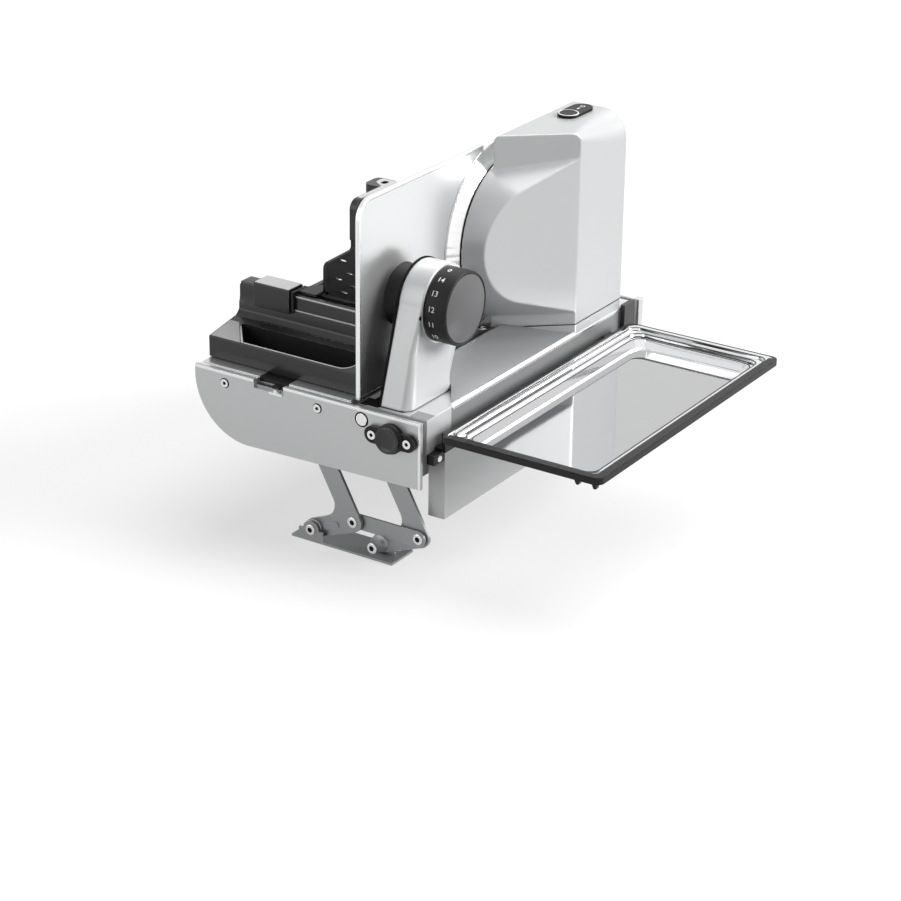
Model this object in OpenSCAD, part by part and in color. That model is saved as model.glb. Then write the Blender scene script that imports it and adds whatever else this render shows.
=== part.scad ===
// Fold-away electric food slicer for a kitchen drawer.
// X runs to the right along the front cheek, Y runs back, Z is up.
// The origin is the middle of the bracket screw pattern, on the surface the brackets stand on.
// Shapes are drawn from the top right front corner of the front cheek, and moved as a whole.

/* [Base] */
// Width of the base
base_w = 233; // [225:1:240]
// Depth of the base over both cheeks
base_d = 353; // [345:1:361]
// Height of the base at its left
base_h = 63.5; // [60:0.5:68]
// Height of the base deck above the mounting surface, raised
deck_h = 137; // [132:1:145]
// Radius of the round lower left corner
corner_r = 56; // [50:1:56]
// Thickness of a cheek plate
cheek_t = 3; // [2:0.5:3.5]
// Thickness of the inner side frame
frame_t = 2; // [1.5:0.25:2]
// Depth of the flange along a cheek's top edge
flange_d = 8; // [7:0.5:8.5]
// Sheet thickness of the tub
tub_t = 2; // [1:0.25:3]
// Height left free above the tub for the folded machine
tub_drop = 36; // [34:1:38]

/* [Lift linkage] */
// Distance between the two arms' floor pivots
arm_pitch = 64; // [60:1:68]
// Height of a floor pivot above the mounting surface
toe_h = 11; // [10:0.5:13]
// Height of a machine pivot below the deck
top_pivot_drop = 48; // [46:1:50]
// Distance of the left floor pivot from the base's right edge
toe_in = 113; // [110:1:116]
// Sideways step from floor pivot to machine pivot
top_step = 6; // [2:1:10]
// Sideways step from floor pivot to heel pivot
heel_step = 40; // [36:1:42]
// Rise from floor pivot to heel pivot
heel_rise = 15.5; // [13:0.5:18]
// Width of an arm
arm_w = 18; // [14:1:18]
// Thickness of an arm
arm_t = 3; // [2:0.5:3]
// Radius of a linkage pin
pin_r = 4; // [3:0.25:4.5]
// Spacing of the two screw holes in a bracket
screw_pitch = 84; // [76:1:92]
// Radius of a bracket screw hole
screw_hole_r = 2.6; // [2:0.1:3]

/* [Fold] */
// Distance of the fold axis from the base's right edge
fold_in = 59; // [57:1:61]
// Height of the fold axis below the deck
fold_drop = 10; // [9.5:0.5:11]
// Radius of a fold pin
fold_pin_r = 6; // [5:0.25:6.5]

/* [Blade] */
// Diameter of the blade
blade_dia = 170; // [160:1:174]
// Thickness of the blade
blade_t = 1.2; // [1:0.1:2]
// Distance of the cutting plane from the base's right edge
blade_in = 71.5; // [70:0.5:72.5]
// Distance of the blade axis from the front
blade_y = 226; // [224:1:230]
// Height of the blade axis above the deck
blade_z = 86.5; // [86.5:0.5:90]
// Radius of the shroud behind the blade
shroud_r = 73; // [70:1:76]

/* [Housing] */
// Height of the motor housing above the deck
housing_h = 184; // [180:1:190]
// Thickness of the housing from blade side to right side
housing_w = 58; // [56:0.5:60]
// Distance of the housing's back from the front
housing_back = 326; // [322:1:328]
// Distance of the housing's right front edge from the front
housing_front_r = 246; // [240:1:252]
// Distance of the housing's left front edge from the front
housing_front_l = 196; // [195.5:0.5:200]
// Radius along the housing's top right edge
housing_r = 24; // [16:1:28]
// Wall of the housing
housing_wall = 2.5; // [2:0.25:3]
// Height of the seam above the deck
seam_z = 8; // [6:0.5:10]

/* [Stop plate and dial] */
// Thickness of the stop plate
plate_t = 4; // [3:0.5:4]
// Height of the stop plate's top edge above the deck
plate_top = 175; // [168:1:178]
// Distance of the stop plate's near edge from the front
plate_y = 9; // [9:0.5:12]
// Largest slice thickness
slice_max = 14; // [10:1:14]
// Distance of the dial axis from the front
dial_y = 71.6; // [70:0.2:74]
// Height of the dial axis above the deck
dial_z = 77.6; // [75:0.2:80]
// Radius of the dial
dial_r = 32; // [28:0.5:34]
// Length of the dial
dial_l = 21; // [18:0.5:22]
// Thickness of the dial arm
dial_arm_t = 23; // [22:0.5:24]
// Radius of the arm's round head
dial_arm_r = 36; // [34:0.5:38]
// Radius of the round boss on the stop plate
boss_r = 25.5; // [22:0.5:27]

/* [Carriage] */
// Width of the carriage
carriage_w = 157; // [150:1:160]
// Length of the carriage
carriage_l = 192; // [180:1:196]
// Height of the carriage's front lip
lip_h = 19; // [17:0.5:22]
// Height of the carriage's push wall
wall_h = 55; // [52:1:58]

/* [Tray] */
// Width of the tray
tray_w = 151; // [140:1:160]
// Length of the tray
tray_l = 313; // [300:1:316]
// Width of the tray's rim
tray_rim = 7; // [5:0.5:9]
// Depth of the tray's pan
pan_depth = 15; // [10:1:18]
// Sheet thickness of the pan
pan_t = 1; // [0.8:0.1:1.5]

/* [Hidden] */
$fn = 64;

// Clearances shared by several pieces
run_gap = 0.05;
loose_gap = 0.3;
over = 1;
skin = 0.5;

// Linkage places, from the base's top right front corner
toe_x = -toe_in;
toe_z = toe_h - deck_h;
top_x = toe_x + top_step;
top_z = -top_pivot_drop;
heel_x = toe_x + heel_step;
heel_z = toe_z + heel_rise;
link_t = 2;
link_w = 14;
link_gap = 1;
arm_y1 = 2 * arm_t;
link_y1 = arm_y1 + arm_t + link_gap;
arm_y2 = link_y1 + link_t + link_gap;
bay_d = arm_y2 + arm_t + tub_t;
bracket_t = 2;
bracket_side = 10;
bracket_w = screw_pitch + 2 * bracket_side;
bracket_d = 32;
bracket_y = 1;
screw_y = 27;
foot_x = toe_x + arm_pitch / 2;
ear_r = 8;
ear_w = 25;
web_back_y = arm_y2 + arm_t + loose_gap;

// Base places
mid_y = base_d / 2;
frame_y = cheek_t + frame_t;
notch_x = -170;
notch_w = 31;
notch_h = 8;
notch_tab_x = notch_x + notch_w / 2;
notch_tab_w = notch_w / 4;
cheek_rise = 4;
fold_x = -fold_in;
fold_z = -fold_drop;
tub_right = -12;
link_bay_x = -130;
flange_t = 2;
frame_lip_t = 1;
flange_right = -blade_in - 2.5 * skin;
cap_w = 6;
cap_back = 5;
cap_h = 52;
screw_xs = [-201, -104];
cheek_screw_z = -10.8;
cheek_screw_r = 2;
screw_head_r = 4.5;
screw_head_t = 1.6;
screw_socket_r = 1.5;

// Latch places
latch_x = -28.5;
latch_z = -19;
latch_bore_r = 5;
latch_bolt_r = 4;
latch_pitch = 35;
latch_flange_t = 4;
latch_ear_r = 7.5;
latch_body_r = 13;
latch_body_l = 5;
latch_head_r = 4;
knob_r = 11.5;
knob_l = 4;
knob_wall = 2.5;
knob_dish = 1.5;
bolt_in_knob = 2;

// Machine places
block_y = flange_d + loose_gap;
block_back = 22;
block_l = -fold_in;
block_r = 0.5;
block_h = 30;
lug_r = 9.5;
chassis_l = -50;
chassis_bottom = -block_h;
ramp_top = 12;
ramp_lip = 3;
ramp_wall = 4;
seal_w = 4.5;
seal_d = 18;
seal_h = 36;
seal_tail = 10;
seal_top = 2;
apron_t = 2;
apron_y = block_back + apron_t;
apron_r = 8;
apron_l = -apron_r;
apron_bottom = -93;
rail_l = block_r;
rail_r = 11;
rail_h = 11;
rail_bottom = -block_h;
rail_w = 3;
rail_y = 20;
rail_foot_h = 8.5;
housing_l = -housing_w;
shroud_gap = 3;
shroud_l = -blade_in + shroud_gap;
shroud_wall = 3;
face_l = -42;
face_run = housing_front_r + skin - blade_y + shroud_r;
face_angle = atan2(face_run, -skin - face_l);
face_len = norm([face_l + skin, face_run]);
face_u = 55;
face_r = 52;
face_z = 91;
face_low = 20;
face_high = 162;
blade_r = blade_dia / 2;
plate_gap = 2;
plate_l = -blade_in + skin;
plate_bottom = 1.5;
plate_corner_r = 18;
plate_edge_y = housing_front_l - plate_gap;
arm_l = -48;
arm_r = arm_l + dial_arm_t;
arm_foot_y = 11;
arm_foot_back = 75;
arm_back_angle = -25;
arm_front_angle = 163;
arm_flare = 5;
arm_flare_h = 43;
ramp_y = arm_foot_back + 4 * shroud_wall;
dial_l_x = arm_r + loose_gap;
dial_edge = 2;
dial_face_t = 1;
spindle_r = 7;
boss_in = 2;
collar_r = 12;
collar_l = 6;

// Drive places
gear_r = 50;
gear_w = 5;
gear_x = shroud_l + 3 * skin;
gear_mesh = 0.3;
pinion_r = 6;
motor_y = blade_y + gear_r + pinion_r + gear_mesh;
motor_l = housing_l + housing_wall;
motor_w = 44;
motor_r = 22;
rotor_r = 15;
cap_t = 4;
shaft_r = 3;
bearing_r = 8;
hub_r = 14;
axle_r = 6;
sleeve_r = 10;
sleeve_l = 14;
bolt_head_r = 8;
bolt_head_t = 2.5;

// Carriage places
carriage_r = -75.5;
carriage_x = carriage_r - carriage_w;
carriage_y = 20;
bed_l = -231;
bed_t = 6;
strip_t = 3;
strip_drop = 1;
slide_h = 0.3;
wall_y = 64;
wall_t = 18;
wall_foot_y = 58;
wall_foot_h = 26.4;
wall_bend_h = 32;
trough_wall = 1.6;
trough_l = -197;
trough_r = -88;
trough_back = 49;
trough_slant = 22;
floor_t = 4;
groove_side = 5;
groove_h = 6.5;
floor_rim = 4;

// Food holder places
grip_l = -214;
groove_l = grip_l + 2 * over;
grip_w = 40;
grip_r = grip_l + grip_w;
grip_y = 60;
grip_bottom = 38;
grip_t = 5;
bar_h = 3;
spike_x = -155;
spike_t = 3;
spike_gap = 2;
spike_y = wall_y + wall_t + spike_gap;
shield_d = 104;
shield_bottom = 26;
shield_low_top = 79;
shield_step_y = 36;
shield_top = 128;
head_w = 22;
head_in = 82;
head_z = 106;
head_h = shield_top - head_z;
strip_w = 6;
spike_r = 1.2;
spike_tip_r = 0.2;
spike_l = 6;
spike_in = 8;
spike_step = 15;
spike_base_z = 35;

// Tray and switch places
tray_x = 14.5;
tray_y = 6;
tray_z = -10;
tray_r = 8;
rim_t = 5;
pan_lap = 3;
pan_side = 2;
hook_t = 3;
hook_w = 14;
hook_in = 18;
hook_x = rail_r - rail_w - loose_gap - hook_t;
hook_end = min(tray_y + tray_l, housing_back);
switch_x = -36;
switch_y = 296;
switch_r = 9.5;
switch_l = 24;
button_y = switch_y - switch_l / 2;
button_r = 7.5;
button_travel = 1.2;
button_rise = 0.6;
bezel_t = 2.4;
stem_r = 2;
inlet_l = -44;
inlet_w = 20;
inlet_z = 14;
inlet_h = 16;
inlet_t = 2;
inlet_wall = 2;
inlet_pin_r = 1.2;
inlet_pin_pitch = 8;

// Helpers
module machine() translate([-foot_x, -mid_y, deck_h]) children();
module block(x0, x1, y0, y1, z0, z1) translate([x0, y0, z0]) cube([x1 - x0, y1 - y0, z1 - z0]);
module rod_x(r, x0, x1, y, z) translate([x0, y, z]) rotate([0, 90, 0]) cylinder(r = r, h = x1 - x0);
module rod_y(r, y0, y1, x, z) translate([x, y0, z]) rotate([-90, 0, 0]) cylinder(r = r, h = y1 - y0);
module rod_z(r, z0, z1, x, y) translate([x, y, z0]) cylinder(r = r, h = z1 - z0);
module prism_y(y0, y1) translate([0, y1, 0]) rotate([90, 0, 0]) linear_extrude(y1 - y0) children();
module prism_x(x0, x1) translate([x0, 0, 0]) rotate([90, 0, 90]) linear_extrude(x1 - x0) children();
module prism_z(z0, z1) translate([0, 0, z0]) linear_extrude(z1 - z0) children();
module rear() translate([0, base_d, 0]) mirror([0, 1, 0]) children();
module both_ends() {
    children();
    rear() children();
}

// Flat bar with round ends between two points, in the XZ plane
module link_2d(x0, z0, x1, z1, w) {
    len = norm([x1 - x0, z1 - z0]);
    a = atan2(z1 - z0, x1 - x0);
    translate([x0, z0]) rotate(a) translate([0, -w / 2]) square([len, w]);
    translate([x0, z0]) circle(w / 2);
    translate([x1, z1]) circle(w / 2);
}

// Outline of a cheek, with its round lower left corner
module cheek_2d(inset = 0) {
    difference() {
        union() {
            intersection() {
                translate([-base_w + corner_r, -base_h + corner_r]) circle(corner_r - inset);
                translate([-base_w, -base_h]) square([corner_r, base_h - inset]);
            }
            translate([-base_w + inset, -base_h + corner_r])
                square([base_w - 2 * inset, base_h - corner_r - inset]);
            polygon([
                [-base_w + corner_r, -base_h + inset],
                [-inset, -base_h + cheek_rise + inset],
                [-inset, -inset],
                [-base_w + corner_r, -inset]
            ]);
        }
        translate([notch_x, -notch_h + inset]) square([notch_w, notch_h + over]);
    }
}

// Mounting brackets and lift linkage
module bracket_solid() {
    difference() {
        union() {
            translate([foot_x - bracket_w / 2, bracket_y, -deck_h])
                cube([bracket_w, bracket_d, bracket_t]);
            prism_y(bracket_y, bracket_y + bracket_t) web_2d(toe_x);
            prism_y(web_back_y, web_back_y + bracket_t) web_2d(toe_x + arm_pitch);
        }
        for (side = [-1, 1])
            rod_z(screw_hole_r, -deck_h - over, -deck_h + bracket_t + over,
                foot_x + side * screw_pitch / 2, screw_y);
        rod_y(pin_r, 0, bay_d + bracket_d, toe_x, toe_z);
        rod_y(pin_r, 0, bay_d + bracket_d, toe_x + arm_pitch, toe_z);
    }
}
module web_2d(x) {
    translate([x - ear_w / 2, -deck_h]) square([ear_w, toe_h]);
    translate([x, toe_z]) circle(ear_r);
}
module front_bracket() color("silver") machine() bracket_solid();
module rear_bracket() color("silver") machine() rear() bracket_solid();

// A pin through a bracket web and one arm
module toe_pins_one_end() {
    rod_y(pin_r, bracket_y - over / 2, arm_y1 + arm_t, toe_x, toe_z);
    rod_y(pin_r, arm_y2, web_back_y + bracket_t + over / 2, toe_x + arm_pitch, toe_z);
}
module bracket_pins() color("gray") machine() both_ends() toe_pins_one_end();

// An L shaped arm: floor pivot, heel pivot and machine pivot
module arm_solid(dx, y, heel_bore, top_bore, toe_bore) {
    difference() {
        prism_y(y, y + arm_t) union() {
            link_2d(toe_x + dx, toe_z, heel_x + dx, heel_z, arm_w);
            link_2d(heel_x + dx, heel_z, top_x + dx, top_z, arm_w);
        }
        rod_y(toe_bore, y - over, y + arm_t + over, toe_x + dx, toe_z);
        rod_y(heel_bore, y - over, y + arm_t + over, heel_x + dx, heel_z);
        rod_y(top_bore, y - over, y + arm_t + over, top_x + dx, top_z);
    }
}
module left_arm_front() color("gray") machine()
    arm_solid(0, arm_y1, pin_r, pin_r, pin_r + run_gap);
module left_arm_rear() color("gray") machine() rear()
    arm_solid(0, arm_y1, pin_r, pin_r, pin_r + run_gap);
module right_arm_front() color("gray") machine()
    arm_solid(arm_pitch, arm_y2, pin_r, pin_r + loose_gap, pin_r + run_gap);
module right_arm_rear() color("gray") machine() rear()
    arm_solid(arm_pitch, arm_y2, pin_r, pin_r + loose_gap, pin_r + run_gap);

// Shaft that joins the two left arms, through the base
module lift_shaft() color("gray") machine()
    rod_y(pin_r, cheek_t + run_gap, base_d - cheek_t - run_gap, top_x, top_z);

// Bars that join the heels of the two arms
module link_solid() {
    difference() {
        prism_y(link_y1, link_y1 + link_t)
            link_2d(heel_x, heel_z, heel_x + arm_pitch, heel_z, link_w);
        rod_y(pin_r + run_gap, link_y1 - over, link_y1 + link_t + over, heel_x, heel_z);
        rod_y(pin_r + loose_gap, link_y1 - over, link_y1 + link_t + over, heel_x + arm_pitch, heel_z);
    }
}
module heel_link_front() color("dimgray") machine() link_solid();
module heel_link_rear() color("dimgray") machine() rear() link_solid();
module heel_pins() color("silver") machine() both_ends()
    rod_y(pin_r, arm_y1 - over / 2, link_y1 + link_t + over / 4, heel_x, heel_z);
module right_heel_pins() color("silver") machine() both_ends()
    rod_y(pin_r, link_y1 - over / 4, arm_y2 + arm_t + over / 4, heel_x + arm_pitch, heel_z);

// Base
module tub_2d(inset) {
    intersection() {
        cheek_2d(frame_t + inset);
        translate([-base_w, -base_h])
            square([base_w + tub_right - inset, base_h - tub_drop]);
    }
}
module base_tub() color("silver") machine() difference() {
    union() {
        prism_y(bay_d, base_d - bay_d) tub_2d(0);
        intersection() {
            prism_y(frame_y, base_d - frame_y) tub_2d(0);
            block(-base_w, link_bay_x, 0, base_d, -base_h, 0);
        }
    }
    intersection() {
        prism_y(frame_y + tub_t, base_d - frame_y - tub_t) translate([0, tub_t]) tub_2d(tub_t);
        union() {
            block(-base_w, tub_right, bay_d + tub_t, base_d - bay_d - tub_t, -base_h, 0);
            block(-base_w, link_bay_x - tub_t, 0, base_d, -base_h, 0);
        }
    }
    rod_y(pin_r + run_gap, 0, base_d, top_x, top_z);
    both_ends() rod_y(pin_r, 0, bay_d + tub_t + over, top_x + arm_pitch, top_z);
}

// Inner side frame with the flange that carries the cheek
module frame_solid() {
    difference() {
        union() {
            prism_y(cheek_t, cheek_t + frame_t) cheek_2d(frame_t);
            difference() {
                block(-base_w + frame_t, flange_right, cheek_t, flange_d, -flange_t - frame_lip_t, -flange_t);
                block(notch_x - over, notch_x + notch_w + over, 0, flange_d + over, -notch_h, over);
            }
        }
        rod_y(pin_r + run_gap, 0, flange_d, top_x, top_z);
        rod_y(fold_pin_r, 0, flange_d, fold_x, fold_z);
        rod_y(latch_bore_r, 0, flange_d, latch_x, latch_z);
        for (x = screw_xs) rod_y(cheek_screw_r, 0, flange_d, x, cheek_screw_z);
    }
}
module front_frame() color("silver") machine() frame_solid();
module rear_frame() color("silver") machine() rear() frame_solid();

// Cheek plate with its flange
module cheek_solid(with_latch) {
    difference() {
        union() {
            prism_y(0, cheek_t) cheek_2d();
            difference() {
                block(-base_w, flange_right, cheek_t, flange_d, -flange_t, 0);
                block(notch_x, notch_x + notch_w, 0, flange_d + over, -notch_h, over);
            }
        }
        rod_y(fold_pin_r, -over, cheek_t + over, fold_x, fold_z);
        for (x = screw_xs) rod_y(cheek_screw_r, -over, cheek_t + over, x, cheek_screw_z);
        if (with_latch) {
            rod_y(latch_bore_r, -over, cheek_t + over, latch_x, latch_z);
            for (side = [-1, 1])
                rod_y(cheek_screw_r, -over, cheek_t + over, latch_x + side * latch_pitch / 2, latch_z);
        }
    }
}
module front_cheek() color("lightgray") machine() cheek_solid(true);
module rear_cheek() color("lightgray") machine() rear() cheek_solid(false);

module screw_head(x, z, y, head_r) {
    difference() {
        rod_y(head_r, y - screw_head_t, y, x, z);
        rod_y(screw_socket_r, y - screw_head_t - over, y - screw_head_t / 2, x, z);
    }
    rod_y(cheek_screw_r, y, y + cheek_t + frame_t, x, z);
}
module cheek_screws() color("silver") machine() both_ends()
    for (x = screw_xs) screw_head(x, cheek_screw_z, 0, screw_head_r);

// Pins that the right arms turn on, riveted into the tub's walls
module arm_pins() color("silver") machine() both_ends()
    rod_y(pin_r, arm_y2 - over / 2, bay_d + tub_t, top_x + arm_pitch, top_z);

// Pins that the whole upper machine folds about
module fold_pins() color("silver") machine() both_ends()
    rod_y(fold_pin_r, 0, block_back, fold_x, fold_z);

// Black insert in the cheek's notch, with its small tab
module notch_guide() color("black") machine() both_ends() {
    block(notch_x, notch_x + notch_w, cheek_t + frame_t, flange_d, -notch_h - over, -notch_h + over);
    block(notch_tab_x, notch_tab_x + notch_tab_w, cheek_t + frame_t, flange_d,
        -notch_h + over, -notch_h / 2);
}

// Latch
module latch_housing() color("black") machine() difference() {
    union() {
        prism_y(-latch_flange_t, 0)
            link_2d(latch_x - latch_pitch / 2, latch_z, latch_x + latch_pitch / 2, latch_z, 2 * latch_ear_r);
        rod_y(latch_body_r, -latch_body_l, 0, latch_x, latch_z);
    }
    rod_y(latch_bolt_r + run_gap, -latch_body_l - over, over, latch_x, latch_z);
    for (side = [-1, 1])
        rod_y(cheek_screw_r, -latch_flange_t - over, over, latch_x + side * latch_pitch / 2, latch_z);
}
module latch_screws() color("silver") machine()
    for (side = [-1, 1])
        translate([0, -latch_flange_t, 0])
            screw_head(latch_x + side * latch_pitch / 2, latch_z, 0, latch_head_r);
module latch_knob() color("black") machine() difference() {
    rod_y(knob_r, -latch_body_l - loose_gap - knob_l, -latch_body_l - loose_gap, latch_x, latch_z);
    rod_y(knob_r - knob_wall, -latch_body_l - knob_l - over, -latch_body_l - knob_l + knob_dish,
        latch_x, latch_z);
    rod_y(latch_bolt_r, -latch_body_l - bolt_in_knob, over, latch_x, latch_z);
}
module latch_bolt() color("silver") machine()
    rod_y(latch_bolt_r, -latch_body_l - bolt_in_knob, block_y - loose_gap, latch_x, latch_z);

// Upper machine: frame parts
module chassis() color("silver") machine() difference() {
    union() {
        block(chassis_l, 0, block_back, housing_back, chassis_bottom, -ramp_lip);
        block(chassis_l, -ramp_lip, block_back, ramp_y, -ramp_lip, 0);
        difference() {
            prism_y(ramp_y, housing_back) ramp_2d(0);
            prism_z(seam_z, ramp_top + over) housing_2d(0);
        }
        prism_z(-ramp_lip, seam_z) housing_2d(0);
    }
    block(chassis_l + housing_wall, -housing_wall, block_back + housing_wall, housing_back - housing_wall,
        chassis_bottom - over, -ramp_lip - housing_wall);
    prism_y(ramp_y + housing_wall, housing_front_l - housing_wall)
        translate([0, -over]) ramp_2d(housing_wall);
}
// Slope that the slices slide down
module ramp_2d(inset) polygon([
    [chassis_l + inset, -ramp_lip - inset],
    [-inset, -ramp_lip - inset],
    [-ramp_wall - 2 * inset, -inset],
    [chassis_l + inset, ramp_top - 1.5 * inset]
]);

// Plan of the housing, with its slanted front
module housing_2d(inset) {
    polygon([
        [housing_l + inset, housing_front_l + inset * 1.5],
        [-inset, housing_front_r + inset],
        [-inset, housing_back - inset],
        [housing_l + inset, housing_back - inset]
    ]);
}
// Side profile of the housing seen from the front, with its round top right edge
module housing_profile(inset) {
    translate([housing_l + inset, seam_z])
        square([housing_w - housing_r - inset, housing_h - seam_z - inset]);
    translate([housing_l + inset, seam_z])
        square([housing_w - 2 * inset, housing_h - seam_z - housing_r]);
    translate([-housing_r, housing_h - housing_r]) circle(housing_r - inset);
}

module motor_housing() color("silver") machine() difference() {
    union() {
        intersection() {
            prism_z(seam_z, housing_h) housing_2d(0);
            prism_y(0, base_d) housing_profile(0);
        }
        gear_swell(0);
    }
    intersection() {
        prism_z(seam_z - over, housing_h) housing_2d(housing_wall);
        prism_y(0, base_d) translate([0, -over]) housing_profile(housing_wall);
    }
    gear_swell(housing_wall);
    rod_z(stem_r + run_gap, housing_h - 2 * housing_wall, housing_h + over, switch_x, button_y);
    rod_x(sleeve_r, housing_l - over, housing_l + housing_wall + over, blade_y, blade_z);
    rod_x(shaft_r + loose_gap, housing_l - over, housing_l + housing_wall + over, motor_y, blade_z);
}

// Swell from the blade's round cover to the D shaped flat at the front
module gear_swell(inset) intersection() {
    hull() {
        rod_x(shroud_r - inset - skin, housing_l + inset, housing_l + inset + skin, blade_y, blade_z);
        translate([face_l, blade_y - shroud_r, 0]) rotate(face_angle) {
            rod_y(face_r - inset, 1.5 * inset, 1.5 * inset + skin, face_u, face_z);
            block(face_len - 2 * skin, face_len, 1.5 * inset, 1.5 * inset + skin,
                face_low + inset, face_high - inset);
        }
    }
    block(housing_l + inset, -inset, 0, housing_back - inset, seam_z - (inset > 0 ? over : 0), housing_h);
}

// Round cover behind the blade
module blade_shroud() color("silver") machine() difference() {
    union() {
        rod_x(shroud_r, shroud_l, housing_l, blade_y, blade_z);
        rod_x(sleeve_r, housing_l - over, housing_l + sleeve_l, blade_y, blade_z);
    }
    rod_x(shroud_r - shroud_wall, shroud_l - over, housing_l - shroud_wall, blade_y, blade_z);
    rod_x(axle_r + run_gap, shroud_l - over, housing_l + sleeve_l + over, blade_y, blade_z);
    rod_x(shaft_r + loose_gap, shroud_l - over, housing_l + over, motor_y, blade_z);
}

module front_end_block() color("lightgray") machine() difference() {
    union() {
        block(block_l, block_r, block_y, block_back, -block_h, 0);
        rod_y(lug_r, block_y, block_back, fold_x, fold_z);
    }
    rod_y(fold_pin_r + run_gap, 0, block_back + over, fold_x, fold_z);
}
module rear_end_block() color("lightgray") machine() difference() {
    union() {
        block(block_l, block_r, housing_back, base_d - block_y, -block_h, 0);
        rod_y(lug_r, housing_back, base_d - block_y, fold_x, fold_z);
    }
    rod_y(fold_pin_r + run_gap, housing_back - over, base_d, fold_x, fold_z);
}
module end_seal() color("dimgray") machine() {
    block(block_r, block_r + seal_w, housing_back, housing_back + seal_d, -seal_h, seal_top);
    block(block_r, block_r + seal_w, housing_back, base_d - arm_y2 - arm_t - loose_gap,
        -seal_h - seal_tail, -seal_h + over);
}
module end_cap() color("lightgray") machine()
    block(0, cap_w, base_d - cheek_t, base_d + cap_back, -cap_h, skin);

module apron() color("silver") machine() difference() {
    block(apron_l, apron_r, apron_y, housing_back, apron_bottom, chassis_bottom);
    block(apron_l - over, apron_r - apron_t, apron_y + apron_t, housing_back - apron_t,
        apron_bottom - over, chassis_bottom - apron_t);
}

module tray_rail() color("black") machine() {
    block(rail_l, rail_r, rail_y, housing_back, rail_bottom, rail_bottom + rail_w);
    block(rail_r - rail_w, rail_r, rail_y, housing_back, rail_bottom, rail_bottom + rail_h);
    block(rail_l, apron_r, block_y, apron_y - loose_gap, rail_bottom - rail_foot_h, rail_bottom);
}

module dial_arm_side() {
    translate([dial_y, dial_z]) circle(dial_arm_r);
    polygon([
        [arm_foot_y, 0],
        [arm_foot_back, 0],
        [dial_y + dial_arm_r * cos(arm_back_angle), dial_z + dial_arm_r * sin(arm_back_angle)],
        [dial_y + dial_arm_r * cos(arm_front_angle), dial_z + dial_arm_r * sin(arm_front_angle)]
    ]);
}

// The arm is thicker towards its foot
module dial_arm() color("silver") machine() difference() {
    union() {
        prism_x(arm_l, arm_r) dial_arm_side();
        intersection() {
            prism_x(arm_l, arm_r + arm_flare) dial_arm_side();
            prism_y(arm_foot_y - over, arm_foot_back + dial_arm_r) polygon([
                [arm_l, 0],
                [arm_r + arm_flare, 0],
                [arm_r, arm_flare_h],
                [arm_l, arm_flare_h]
            ]);
        }
        rod_x(collar_r, arm_r - over, arm_r + collar_l, dial_y, dial_z);
    }
    rod_x(boss_r + loose_gap, arm_l - over, arm_l + boss_in + slice_max + over, dial_y, dial_z);
    rod_x(spindle_r + run_gap, arm_l - over, arm_r + collar_l + over, dial_y, dial_z);
}

// Switch on the housing's top
module stadium(r, l) {
    translate([0, -l / 2]) circle(r);
    translate([0, l / 2]) circle(r);
    translate([-r, -l / 2]) square([2 * r, l]);
}
module switch_bezel() color("black") machine() difference() {
    translate([switch_x, switch_y, housing_h]) linear_extrude(bezel_t) stadium(switch_r, switch_l);
    rod_z(button_r + loose_gap, housing_h - over, housing_h + bezel_t + over, switch_x, button_y);
}
module switch_button() color("dimgray") machine() {
    rod_z(button_r, housing_h + button_travel + loose_gap, housing_h + bezel_t + button_rise,
        switch_x, button_y);
    rod_z(stem_r, housing_h - 2 * housing_wall, housing_h + button_travel + loose_gap + over / 2,
        switch_x, button_y);
}

// Motor and drive inside the housing
module motor_stator() color("dimgray") machine() difference() {
    rod_x(motor_r, motor_l, motor_l + motor_w, motor_y, blade_z);
    rod_x(rotor_r + loose_gap, motor_l + cap_t, motor_l + motor_w - cap_t, motor_y, blade_z);
    rod_x(bearing_r, motor_l - over, motor_l + motor_w + over, motor_y, blade_z);
}
module motor_bearings() color("silver") machine() for (x = [motor_l, motor_l + motor_w - cap_t])
    difference() {
        rod_x(bearing_r, x, x + cap_t, motor_y, blade_z);
        rod_x(shaft_r + run_gap, x - over, x + cap_t + over, motor_y, blade_z);
    }
module armature() color("darkorange") machine() {
    rod_x(rotor_r, motor_l + cap_t + loose_gap, motor_l + motor_w - cap_t - loose_gap, motor_y, blade_z);
    rod_x(shaft_r, gear_x, motor_l + motor_w + over, motor_y, blade_z);
}
module pinion() color("silver") machine() difference() {
    rod_x(pinion_r, gear_x, gear_x + gear_w, motor_y, blade_z);
    rod_x(shaft_r, gear_x - over, gear_x + gear_w + over, motor_y, blade_z);
}
module gear_wheel() color("beige") machine() difference() {
    rod_x(gear_r, gear_x, gear_x + gear_w, blade_y, blade_z);
    rod_x(hub_r, gear_x - over, gear_x + gear_w + over, blade_y, blade_z);
}
module blade() color("whitesmoke") machine() {
    rod_x(blade_r, -blade_in, -blade_in + blade_t, blade_y, blade_z);
    rod_x(hub_r, -blade_in + blade_t, gear_x + gear_w, blade_y, blade_z);
    rod_x(axle_r, gear_x + gear_w, housing_l + sleeve_l + over, blade_y, blade_z);
}
module blade_bolt() color("gray") machine()
    rod_x(bolt_head_r, -blade_in - bolt_head_t, -blade_in, blade_y, blade_z);

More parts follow.
